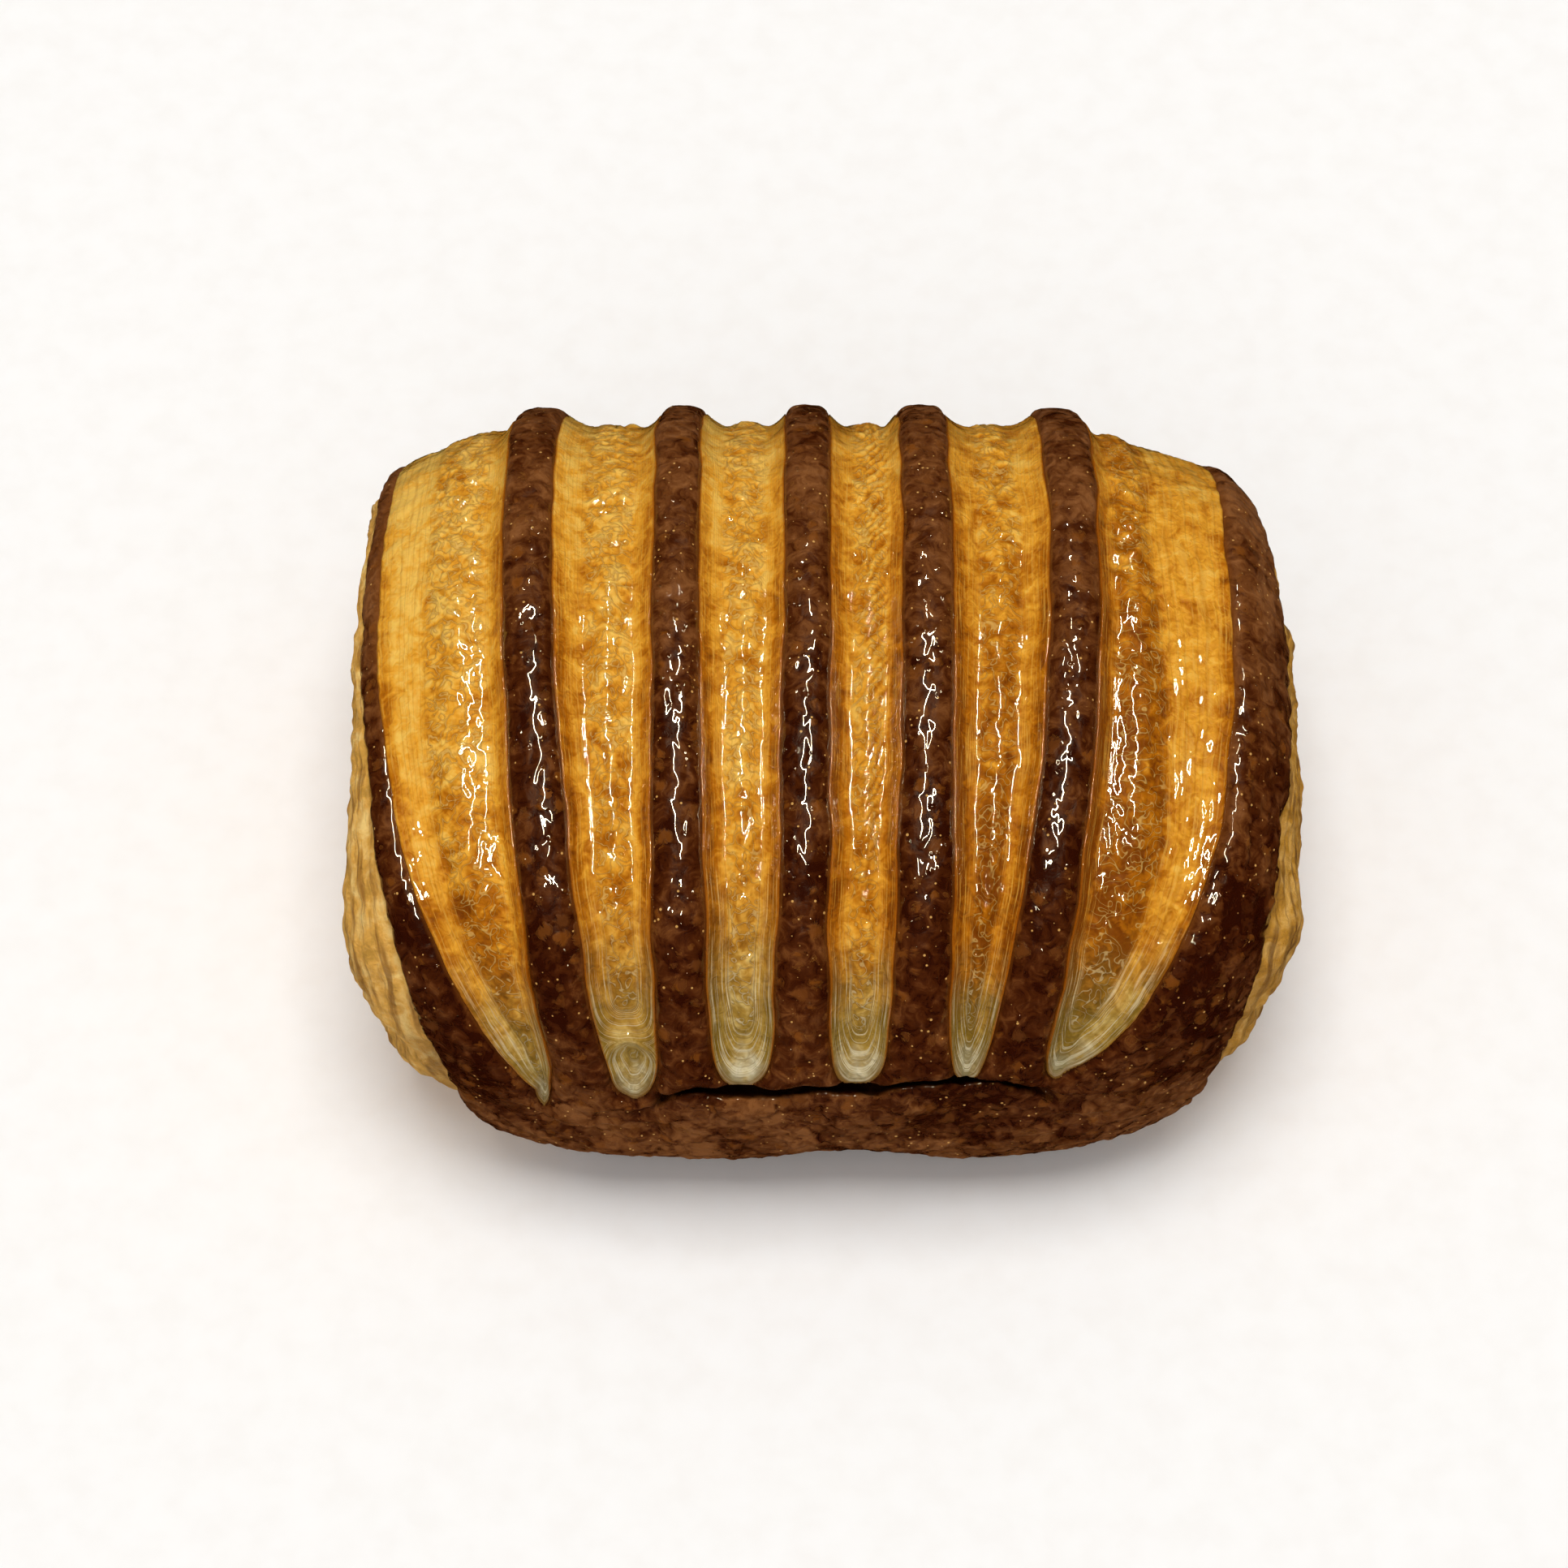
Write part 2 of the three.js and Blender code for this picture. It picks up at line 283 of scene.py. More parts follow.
@dataclass(frozen=True)
class RollShape:
    """The plain roll that every piece is laid on, in millimetres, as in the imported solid."""

    half_length: float
    crest_height: float
    depth: float
    widest_height: float = 18.5
    front_reach: float = 41.0
    back_reach: float = 42.0
    upper_squareness: float = 2.45
    lower_squareness: float = 3.1
    base_cut: float = 1.2
    end_centre_height: float = 18.0
    underside_lift: float = 0.35
    flat_under_fullness: float = 0.55
    floor_fade: Pair = (0.3, 4.0)
    squareness: dict = field(
        default_factory=lambda: {
            Side.LEFT: Places(5.5, 3.85, 2.6, 5.8),
            Side.RIGHT: Places(4.6, 3.4, 3.1, 3.6),
        }
    )
    wrap_edge: dict = field(
        default_factory=lambda: {
            Side.LEFT: Places(48.4, 38.7, 23.5, 44.6),
            Side.RIGHT: Places(47.9, 41.0, 28.0, 44.5),
        }
    )
    wrap_edge_dip: dict = field(default_factory=lambda: {Side.LEFT: 1.5, Side.RIGHT: 2.0})
    girth_steps: int = 12000
    side_probes: Pair = (0.05, 0.05)
    end_probes: Pair = (0.05, 0.002)

    def section(self, turn: Array) -> tuple[Array, Array]:
        """The outline of the roll's middle, a superellipse whose lower half is squarer.

        Args:
            turn: Turns round the roll.

        Returns:
            The outline's Y and Z.
        """
        across = np.sin(turn)
        up = np.cos(turn)
        reach = np.where(across > 0.0, self.front_reach, self.back_reach)
        square = np.where(up >= 0.0, self.upper_squareness, self.lower_squareness)
        upper = self.crest_height - self.widest_height
        lower = self.widest_height + self.base_cut
        tall = np.where(up >= 0.0, upper, lower)
        y = -np.sign(across) * reach * np.abs(across) ** (2.0 / square)
        z = self.widest_height + np.sign(up) * tall * np.abs(up) ** (2.0 / square)
        return y, z

    @cached_property
    def girth(self) -> tuple[Array, Array]:
        """Evenly spaced turns and the arcs at them."""
        turns = np.linspace(-math.pi, math.pi, self.girth_steps + 1)
        y, z = self.section(turns)
        lengths = np.concatenate([[0.0], np.cumsum(np.hypot(np.diff(y), np.diff(z)))])
        return turns, lengths - np.interp(0.0, turns, lengths)

    @property
    def first_arc(self) -> float:
        """The arc at the middle of the underside, on the back's side."""
        return float(self.girth[1][0])

    @property
    def last_arc(self) -> float:
        """The arc at the middle of the underside, on the front's side."""
        return float(self.girth[1][-1])

    def turn_at(self, arc: Array) -> Array:
        """Turns an arc into its turn.

        Args:
            arc: Arcs round the roll, which may run past the seam below it.

        Returns:
            The turns.
        """
        turns, arcs = self.girth
        length = arcs[-1] - arcs[0]
        inside = arcs[0] + np.mod(np.asarray(arc, float) - arcs[0], length)
        return np.interp(inside, arcs, turns)

    def fullness_at(self, x: Array, turn: Array) -> Array:
        """How full the section still is at a place along the roll.

        Args:
            x: Places along the roll.
            turn: Turns round it.

        Returns:
            1 in the middle and 0 at the tips.
        """
        left = self.squareness[Side.LEFT].at(turn)
        right = self.squareness[Side.RIGHT].at(turn)
        square = np.where(x < 0.0, left, right)
        share = np.clip(np.abs(x) / self.half_length, 0.0, 1.0)
        return (1.0 - share**square) ** (1.0 / square)

    def point(self, turn: Array, x: Array, fullness: Array) -> Array:
        """A point of the plain roll, whose underside stays flat while its sides draw in.

        Args:
            turn: Turns round the roll.
            x: Places along it.
            fullness: How full the section is there.

        Returns:
            The points, in millimetres, before they are moved onto the frame.
        """
        y, z = self.section(turn)
        flat = smooth(0.0, self.flat_under_fullness, fullness)
        lowered = mix(fullness, 1.0 - (1.0 - fullness) * self.underside_lift, flat)
        rise = np.where(z > self.end_centre_height, fullness, lowered)
        height = self.end_centre_height + (z - self.end_centre_height) * rise
        return np.stack(np.broadcast_arrays(x, y * fullness, height), axis=-1)

    def wrap_point(self, arc: Array, x: Array) -> Array:
        """A point of the roll's side by its arc and its place along the roll."""
        turn = self.turn_at(arc)
        return self.point(turn, x, self.fullness_at(x, turn))

    def edge_at(self, side: Side, arc: Array) -> Array:
        """How far out from the middle the wrap reaches."""
        return self.edge_at_turn(side, self.turn_at(arc))

    def edge_at_turn(self, side: Side, turn: Array) -> Array:
        """How far out the wrap reaches, drawn in a little between the crest and the back.

        Args:
            side: Which end.
            turn: Turns round the roll.

        Returns:
            The wrap's reach along the roll.
        """
        behind = np.clip(np.asarray(turn, float), -math.pi / 2.0, 0.0)
        dip = self.wrap_edge_dip[side] * np.sin(2.0 * behind) ** 2
        return self.wrap_edge[side].at(turn) - dip

    def end_point(self, side: Side, arc: Array, share: Array) -> Array:
        """A point of an end face.

        Args:
            side: Which end.
            arc: Arcs round the roll.
            share: 0 at the wrap's edge and 1 at the tip.

        Returns:
            The points, in millimetres.
        """
        turn = self.turn_at(arc)
        edge = self.edge_at_turn(side, turn)
        square = self.squareness[side].at(turn)
        fullness = self.fullness_at(side.value * edge, turn) * (1.0 - share)
        reach = self.half_length * (1.0 - np.clip(fullness, 0.0, 1.0) ** square) ** (1.0 / square)
        return self.point(turn, side.value * reach, fullness)

    def raised_side(self, arc: Array, x: Array, height: Array) -> Array:
        """Points of the roll's side that stand off it by a height."""
        return self.raised(self.wrap_point, arc, x, height, self.side_probes)

    def raised_end(self, side: Side, arc: Array, share: Array, height: Array) -> Array:
        """Points of an end face that stand off it by a height."""
        surface = partial(self.end_point, side)
        return self.raised(surface, arc, share, height, self.end_probes, side.value)

    def raised(self, surface: Surface, first: Array, second: Array, height: Array,
               probes: Pair, flip: float = 1.0) -> Array:
        """Moves points of a surface out along its normals and keeps them above the floor.

        Args:
            surface: The surface, a function of its two coordinates.
            first: First coordinates.
            second: Second coordinates.
            height: How far out each point moves, in millimetres.
            probes: Small steps in the two coordinates, to find the normals.
            flip: -1 where the two coordinates turn the other way.

        Returns:
            The moved points, on the frame, in millimetres.
        """
        along_first = surface(first + probes[0], second) - surface(first - probes[0], second)
        along_second = surface(first, second + probes[1]) - surface(first, second - probes[1])
        normal = flip * np.cross(along_first, along_second)
        normal /= np.linalg.norm(normal, axis=-1, keepdims=True) + 1e-12
        points = surface(first, second)
        lifted = np.asarray(height)
        faded = lifted * smooth(*self.floor_fade, points[..., 2])
        points = points + normal * np.where(lifted > 0.0, faded, lifted)[..., None]
        points[..., 1] += self.depth / 2.0 - self.back_reach
        points[..., 2] = np.maximum(points[..., 2], 0.0)
        return points


@dataclass(frozen=True)
class RibLine:
    """A line along the ribs, from its place on the back to its place at the slits' front ends."""

    back: float
    front: float
    bend: float
    width_share: float = 1.0

    def at(self, arc: Array, start: float, stop: float, last: float) -> Array:
        """Where the line lies at an arc.

        Args:
            arc: Arcs round the roll.
            start: Arc where the line begins to swing over.
            stop: Arc of its front place.
            last: Arc where it stops swinging.

        Returns:
            Its places along the roll.
        """
        swung = np.clip((np.minimum(arc, last) - start) / (stop - start), 0.0, None)
        return mix(self.back, self.front, swung**self.bend)


@dataclass(frozen=True)
class StripPlan:
    """What sets one golden strip apart: its ends, its layered bands and how deep it is baked.

    A band's width is given on the crest and at the front. A bake of 0 is pale gold and 1 deep
    amber, and each zone has one on the back, one on the crest and one before the front end.
    """

    front_end: float
    cap: float
    left_band: Pair
    right_band: Pair
    left_bake: tuple[float, float, float] = (0.3, 0.6, 0.5)
    floor_bake: tuple[float, float, float] = (0.3, 0.25, 0.35)
    right_bake: tuple[float, float, float] = (0.35, 0.45, 0.45)
    membrane: float | None = None
    twist: float = 0.0
    raw_length: float = 24.0
    syrup_fill: float = 0.45
    blisters: tuple[tuple[float, float, float, float], ...] = ()


@dataclass(frozen=True)
class SlitPattern:
    """How the wrap is slit into ribs, and what the strips between them look like in plan."""

    shape: RollShape
    swing_start: float = -15.0
    swing_end: float = 50.0
    tip_swing_end: float = 62.0
    ribs: tuple[RibLine, ...] = (
        RibLine(-31.2, -25.5, 1.7),
        RibLine(-15.7, -14.6, 1.5, 0.93),
        RibLine(-2.0, -2.8, 1.0, 0.93),
        RibLine(10.4, 8.9, 1.5),
        RibLine(25.6, 18.5, 1.9),
    )
    left_end: RibLine = RibLine(-47.4, -32.9, 2.7)
    right_end: RibLine = RibLine(42.1, 27.0, 3.4)
    rib_half_back: float = 2.65
    rib_half_front: float = 3.0
    back_taper: float = 0.07
    taper_from: float = 30.0
    taper_to: float = 65.0
    least_width: float = 1.7
    least_rim: float = 1.2
    back_end: float = -62.0
    back_cap: float = 9.0
    band_share: float = 0.5
    widest_bands: float = 0.78
    end_squareness: float = 3.2
    wobble: float = 0.28
    wobble_length: float = 9.0
    wobble_slice: float = 3.7
    strips: tuple[StripPlan, ...] = (
        StripPlan(
            57.5, 8.0, (5.0, 2.6), (1.9, 1.7),
            left_bake=(0.05, 0.25, 0.42), floor_bake=(0.2, 0.22, 0.76), right_bake=(0.25, 0.3, 0.45),
            syrup_fill=0.6,
            blisters=((36.0, -31.5, 3.2, 1.6), (30.0, -30.0, 1.6, 1.2)),
        ),
        StripPlan(
            53.8, 10.0, (3.0, 2.0), (1.9, 1.7),
            left_bake=(0.15, 0.5, 0.45), floor_bake=(0.2, 0.32, 0.5), right_bake=(0.25, 0.38, 0.45),
            membrane=44.4, raw_length=28.0,
        ),
        StripPlan(
            50.5, 12.0, (2.2, 2.1), (1.9, 1.9),
            left_bake=(0.15, 0.55, 0.65), floor_bake=(0.2, 0.24, 0.45), right_bake=(0.25, 0.38, 0.45),
            raw_length=28.0,
        ),
        StripPlan(
            50.2, 12.0, (2.1, 2.0), (1.5, 1.8),
            left_bake=(0.35, 0.65, 0.6), floor_bake=(0.28, 0.4, 0.55), right_bake=(0.3, 0.55, 0.5),
            twist=1.0, raw_length=20.0,
        ),
        StripPlan(
            50.0, 12.0, (2.6, 1.8), (2.9, 2.0),
            left_bake=(0.4, 0.7, 0.75), floor_bake=(0.32, 0.72, 1.0), right_bake=(0.35, 0.55, 0.65),
            raw_length=17.0,
        ),
        StripPlan(
            51.2, 12.0, (1.7, 1.7), (8.0, 4.0),
            left_bake=(0.5, 0.8, 0.85), floor_bake=(0.52, 0.85, 0.88), right_bake=(0.35, 0.42, 0.5),
            raw_length=20.0, syrup_fill=0.78,
            blisters=((-22.0, 29.0, 3.5, 2.4), (-14.0, 31.0, 2.6, 1.8), (-6.0, 29.5, 3.0, 1.5)),
        ),
    )

    def lines(self, arc: Array) -> Array:
        """The two side lines of each strip, from left to right.

        Args:
            arc: Arcs round the roll.

        Returns:
            Twelve rows of places along the roll.
        """
        arc = np.asarray(arc, float)
        ease = smooth(self.swing_start, self.swing_end, arc)
        half = mix(self.rib_half_back, self.rib_half_front, ease)
        taper = 1.0 - self.back_taper * smooth(self.taper_from, self.taper_to, -arc)
        span = (self.swing_start, self.swing_end)
        lines = [self.left_end.at(arc, *span, self.tip_swing_end)]
        for rib in self.ribs:
            centre = rib.at(arc, *span, self.swing_end)
            lines += [centre - half * rib.width_share, centre + half * rib.width_share]
        lines.append(self.right_end.at(arc, *span, self.swing_end))
        lines[0] = np.minimum(lines[0], lines[1] - self.least_width)
        grain = Grain(Seed.LINES)
        for index in range(1, len(lines)):
            sway = grain.rough(arc / self.wobble_length, index * self.wobble_slice)
            lines[index] = lines[index] + self.wobble * sway
        rows = np.stack([line * taper for line in lines])
        rows[0] = np.maximum(rows[0], self.least_rim - self.shape.edge_at(Side.LEFT, arc))
        return rows

    def inside(self, index: int, arc: Array, x: Array, lines: Array) -> tuple[Array, Array]:
        """Where a place lies in a strip.

        Args:
            index: Which strip, from the left.
            arc: Arcs round the roll.
            x: Places along it.
            lines: The side lines at those arcs.

        Returns:
            The layer, 0 at the strip's side and 1 in its middle, and about how many
            millimetres the place is inside the strip; both are negative outside it.
        """
        plan = self.strips[index]
        across, band = self.across(index, arc, x, lines)
        past_front = np.maximum(0.0, arc - (plan.front_end - plan.cap)) / plan.cap
        past_back = np.maximum(0.0, self.back_end + self.back_cap - arc) / self.back_cap
        power = self.end_squareness
        sides = np.abs(across) ** power
        ends = past_front**power + past_back**power
        layer = 1.0 - (sides + ends) ** (1.0 / power)
        scale = mix(band / self.band_share, plan.cap, ends / (sides + ends + 1e-9))
        return layer, layer * scale

    def across(self, index: int, arc: Array, x: Array, lines: Array) -> tuple[Array, Array]:
        """Where a place lies between the sides of a strip.

        Args:
            index: Which strip, from the left.
            arc: Arcs round the roll.
            x: Places along it.
            lines: The side lines at those arcs.

        Returns:
            The place, -1 at the left side and 1 at the right, with the floor between the inner
            edges of the two bands, and the width of the nearer band.
        """
        plan = self.strips[index]
        left = lines[2 * index]
        right = lines[2 * index + 1]
        ease = smooth(self.swing_start, self.swing_end, arc)
        left_band = mix(*plan.left_band, ease)
        right_band = mix(*plan.right_band, ease)
        fit = np.minimum(1.0, self.widest_bands * (right - left) / (left_band + right_band))
        left_band = left_band * fit
        right_band = right_band * fit
        floor_left = left + left_band
        floor_right = right - right_band
        middle = (floor_left + floor_right) / 2.0
        half_floor = (floor_right - floor_left) / 2.0
        place = (1.0 - self.band_share) * (x - middle) / half_floor
        place = np.where(x < floor_left, -1.0 + (x - left) * self.band_share / left_band, place)
        place = np.where(x > floor_right, 1.0 + (x - right) * self.band_share / right_band, place)
        return place, np.where(x < middle, left_band, right_band)


@dataclass(frozen=True)
class Folds:
    """The forms that the wrap and the strips share: the crease, the lip and slow swellings.

    The crease's profile runs from its brow, which hangs over it, through its floor to the lip:
    each entry is a row's distance from the crease's line, where that row is laid, and how far it
    stands off the plain roll.
    """

    crease: tuple[Pair, ...] = (
        (-26.0, 56.0), (-17.5, 52.6), (-13.5, 50.7), (-7.0, 51.3), (0.0, 50.8), (5.0, 50.5),
        (9.5, 49.7), (17.0, 49.9), (20.5, 51.6), (24.0, 53.6), (30.0, 55.5),
    )
    profile: tuple[tuple[float, float, float], ...] = (
        (-6.0, -6.0, 0.0), (-4.2, -4.1, 0.2), (-2.8, -2.5, 0.45), (-1.8, -1.3, 0.6),
        (-1.1, -0.5, 0.5), (-0.6, -0.05, 0.2), (-0.2, 0.1, -0.25), (0.15, 0.0, -0.8),
        (0.5, -0.1, -1.6), (0.9, 0.3, -2.6), (1.3, 1.4, -3.4), (1.7, 2.6, -3.7),
        (2.1, 3.4, -3.2), (2.5, 3.2, -2.3), (2.9, 2.6, -1.4), (3.3, 2.0, -0.7),
        (3.8, 1.8, -0.25), (4.6, 2.6, 0.05), (6.0, 4.8, 0.2), (8.5, 8.2, 0.15),
        (10.5, 10.5, 0.0),
    )
    open_from: Pair = (-18.6, -15.6)
    open_to: Pair = (18.5, 25.0)
    waver: float = 0.28
    waver_length: float = 3.4
    gape: Pair = (0.95, 0.22)
    gape_length: float = 4.5
    shade_from: Pair = (-0.5, 0.1)
    shade_to: Pair = (3.0, 3.7)
    trails: tuple[tuple[float, ...], ...] = (
        (-15.0, 54.5, -25.5, 58.0, 0.5), (-14.0, 58.5, -27.0, 60.5, 0.6),
        (-20.0, 62.5, -31.0, 58.5, 0.45), (-10.0, 62.0, -20.0, 64.5, 0.35),
        (20.0, 53.5, 30.0, 56.5, 0.6), (22.0, 58.5, 31.0, 60.5, 0.35),
    )
    trail_width: float = 0.55
    trail_slope: float = 1.6
    trail_brow: tuple[float, float, float] = (0.35, -1.1, 0.7)
    trail_start: Pair = (0.0, 0.2)
    trail_stop: Pair = (0.6, 1.0)
    trail_waver: float = 0.7
    trail_waver_length: float = 3.0
    lip_arc: float = 71.0
    lip_rise: float = 0.15
    lip_width: float = 8.0
    hollow_place: Pair = (15.5, 56.0)
    hollow_reach: Pair = (7.5, 4.0)
    hollow: float = 0.9
    dip_place: float = 2.0
    dip_width: float = 8.0
    dip_arc: float = 70.0
    dip_reach: float = 5.0
    dip: float = 1.25
    swell: float = 0.3
    swell_length: float = 13.0
    swell_fade: Pair = (68.0, 80.0)

    def line(self, x: Array) -> Array:
        """The arc of the crease's line, with its ragged waver."""
        places, arcs = np.array(self.crease).T
        grain = Grain(Seed.CREASE)
        ragged = grain.rough(x / self.waver_length, 0.4, layers=3)
        return np.interp(x, places, arcs) + self.waver * ragged

    def opened(self, x: Array) -> Array:
        """How far the crease gapes, from 0 past its ends to about 1."""
        gape = self.gape[0] + self.gape[1] * Grain(Seed.GAPE).rough(x / self.gape_length, 0.7)
        return gape * (smooth(*self.open_from, x) - smooth(*self.open_to, x))

    def trail_relief(self, arc: Array, x: Array) -> Array:
        """The shallow folds that run on from the crease's two ends.

        Args:
            arc: Arcs round the roll.
            x: Places along it.

        Returns:
            Their relief, in millimetres.
        """
        relief = np.zeros(np.broadcast(arc, x).shape)
        grain = Grain(Seed.TRAILS)
        brow, brow_place, brow_width = self.trail_brow
        for number, (x_start, arc_start, x_stop, arc_stop, depth) in enumerate(self.trails):
            share = (x - x_start) / (x_stop - x_start)
            waver = self.trail_waver * grain.rough(x / self.trail_waver_length, 5.0 * number)
            away = arc - mix(arc_start, arc_stop, share) - waver
            shown = smooth(*self.trail_start, share) * (1.0 - smooth(*self.trail_stop, share))
            steep = bell(away, 0.0, self.trail_width)
            fold = np.where(away < 0.0, steep, bell(away, 0.0, self.trail_slope))
            relief = relief - depth * shown * (fold - brow * bell(away, brow_place, brow_width))
        return relief

    def shaded(self, arc: Array, x: Array) -> Array:
        """How deep in the crease a place lies, from 0 outside it to 1."""
        # The chocolate's colour uses this value as painted shade inside the crease.
        away = arc - self.line(x)
        return self.opened(x) * smooth(*self.shade_from, away) * (1.0 - smooth(*self.shade_to, away))

    def lay(self, arc: Array, x: Array) -> tuple[Array, Array]:
        """Lays rows into the folds.

        Args:
            arc: The rows' arcs.
            x: Places along the roll.

        Returns:
            The arcs where the rows are laid, and how far they stand off the plain roll, in
            millimetres.
        """
        opened = self.opened(x)
        rows, laid, heights = np.array(self.profile).T
        away = arc - self.line(x)
        moved = arc + opened * (np.interp(away, rows, laid) - np.clip(away, rows[0], rows[-1]))
        crease = opened * np.interp(away, rows, heights)
        lip = self.lip_rise * bell(arc, self.lip_arc, self.lip_width)
        hollow = self.hollow * bell(x, self.hollow_place[0], self.hollow_reach[0])
        hollow = hollow * bell(arc, self.hollow_place[1], self.hollow_reach[1])
        dent = self.dip * bell(x, self.dip_place, self.dip_width)
        dent = dent * bell(arc, self.dip_arc, self.dip_reach)
        calm = 1.0 - smooth(*self.swell_fade, np.abs(arc))
        slow = Grain(Seed.CREASE).at(arc / self.swell_length, x / self.swell_length, 5.5)
        trails = self.trail_relief(arc, x)
        return moved, crease + trails + lip - hollow - dent + self.swell * slow * calm


@dataclass
class Skin:
    """Collects a mesh's points, faces and values, and turns them into an object."""

    name: str
    points: list = field(default_factory=list)
    faces: list = field(default_factory=list)
    values: dict = field(default_factory=dict)
    count: int = 0

    def add_points(self, points: Array, **values: Array) -> int:
        """Adds points in millimetres, with one named value array each.

        Args:
            points: The points, in any grid shape with three coordinates last.
            **values: Value arrays of the same grid shape.

        Returns:
            The index of the first point added.
        """
        first = self.count
        flat = points.reshape(-1, 3)
        self.points.append(flat)
        self.count += len(flat)
        for name, value in values.items():
            spread = np.broadcast_to(value, points.shape[:-1]).reshape(-1)
            self.values.setdefault(name, []).append(spread)
        return first

    def add_grid(self, first: int, rows: int, columns: int, ring: bool, flip: bool = False) -> None:
        """Adds the quads of a grid of points.

        Args:
            first: Index of the grid's first point.
            rows: Number of rows.
            columns: Number of points in a row.
            ring: Whether the last row joins the first.
            flip: Whether the faces turn the other way.
        """
        steps = rows if ring else rows - 1
        row, column = np.meshgrid(np.arange(steps), np.arange(columns - 1), indexing="ij")
        here = first + row * columns + column
        below = first + ((row + 1) % rows) * columns + column
        quads = np.stack([here, below, below + 1, here + 1], axis=-1).reshape(-1, 4)
        if flip:
            quads = quads[:, ::-1]
        self.faces.extend(quads.tolist())

    def build(self) -> Piece:
        """Makes the object, smooth shaded, and links it to the scene.

        Returns:
            The new object.
        """
        mesh = bpy.data.meshes.new(self.name)
        points = np.concatenate(self.points) * MM
        mesh.from_pydata(points.tolist(), [], self.faces)
        for name, parts in self.values.items():
            attribute = mesh.attributes.new(name, "FLOAT", "POINT")
            attribute.data.foreach_set("value", np.concatenate(parts).astype(np.float32))
        mesh.polygons.foreach_set("use_smooth", np.ones(len(mesh.polygons), bool))
        mesh.update()
        piece = bpy.data.objects.new(self.name, mesh)
        bpy.context.scene.collection.objects.link(piece)
        return piece


def spaced(start: float, stop: float, steps: tuple[Pair, ...], samples: int = 4000) -> Array:
    """Places rows so that their spacing follows a plan.

    Args:
        start: First arc.
        stop: Last arc.
        steps: Pairs of an arc and the spacing wanted there.
        samples: How finely the spacing is summed.

    Returns:
        The rows' arcs, with both ends.
    """
    fine = np.linspace(start, stop, samples)
    arcs, gaps = zip(*steps)
    density = 1.0 / np.interp(fine, arcs, gaps)
    middle = (density[1:] + density[:-1]) / 2.0
    total = np.concatenate([[0.0], np.cumsum(middle * np.diff(fine))])
    count = int(round(total[-1]))
    return np.interp(np.linspace(0.0, total[-1], count + 1), total, fine)


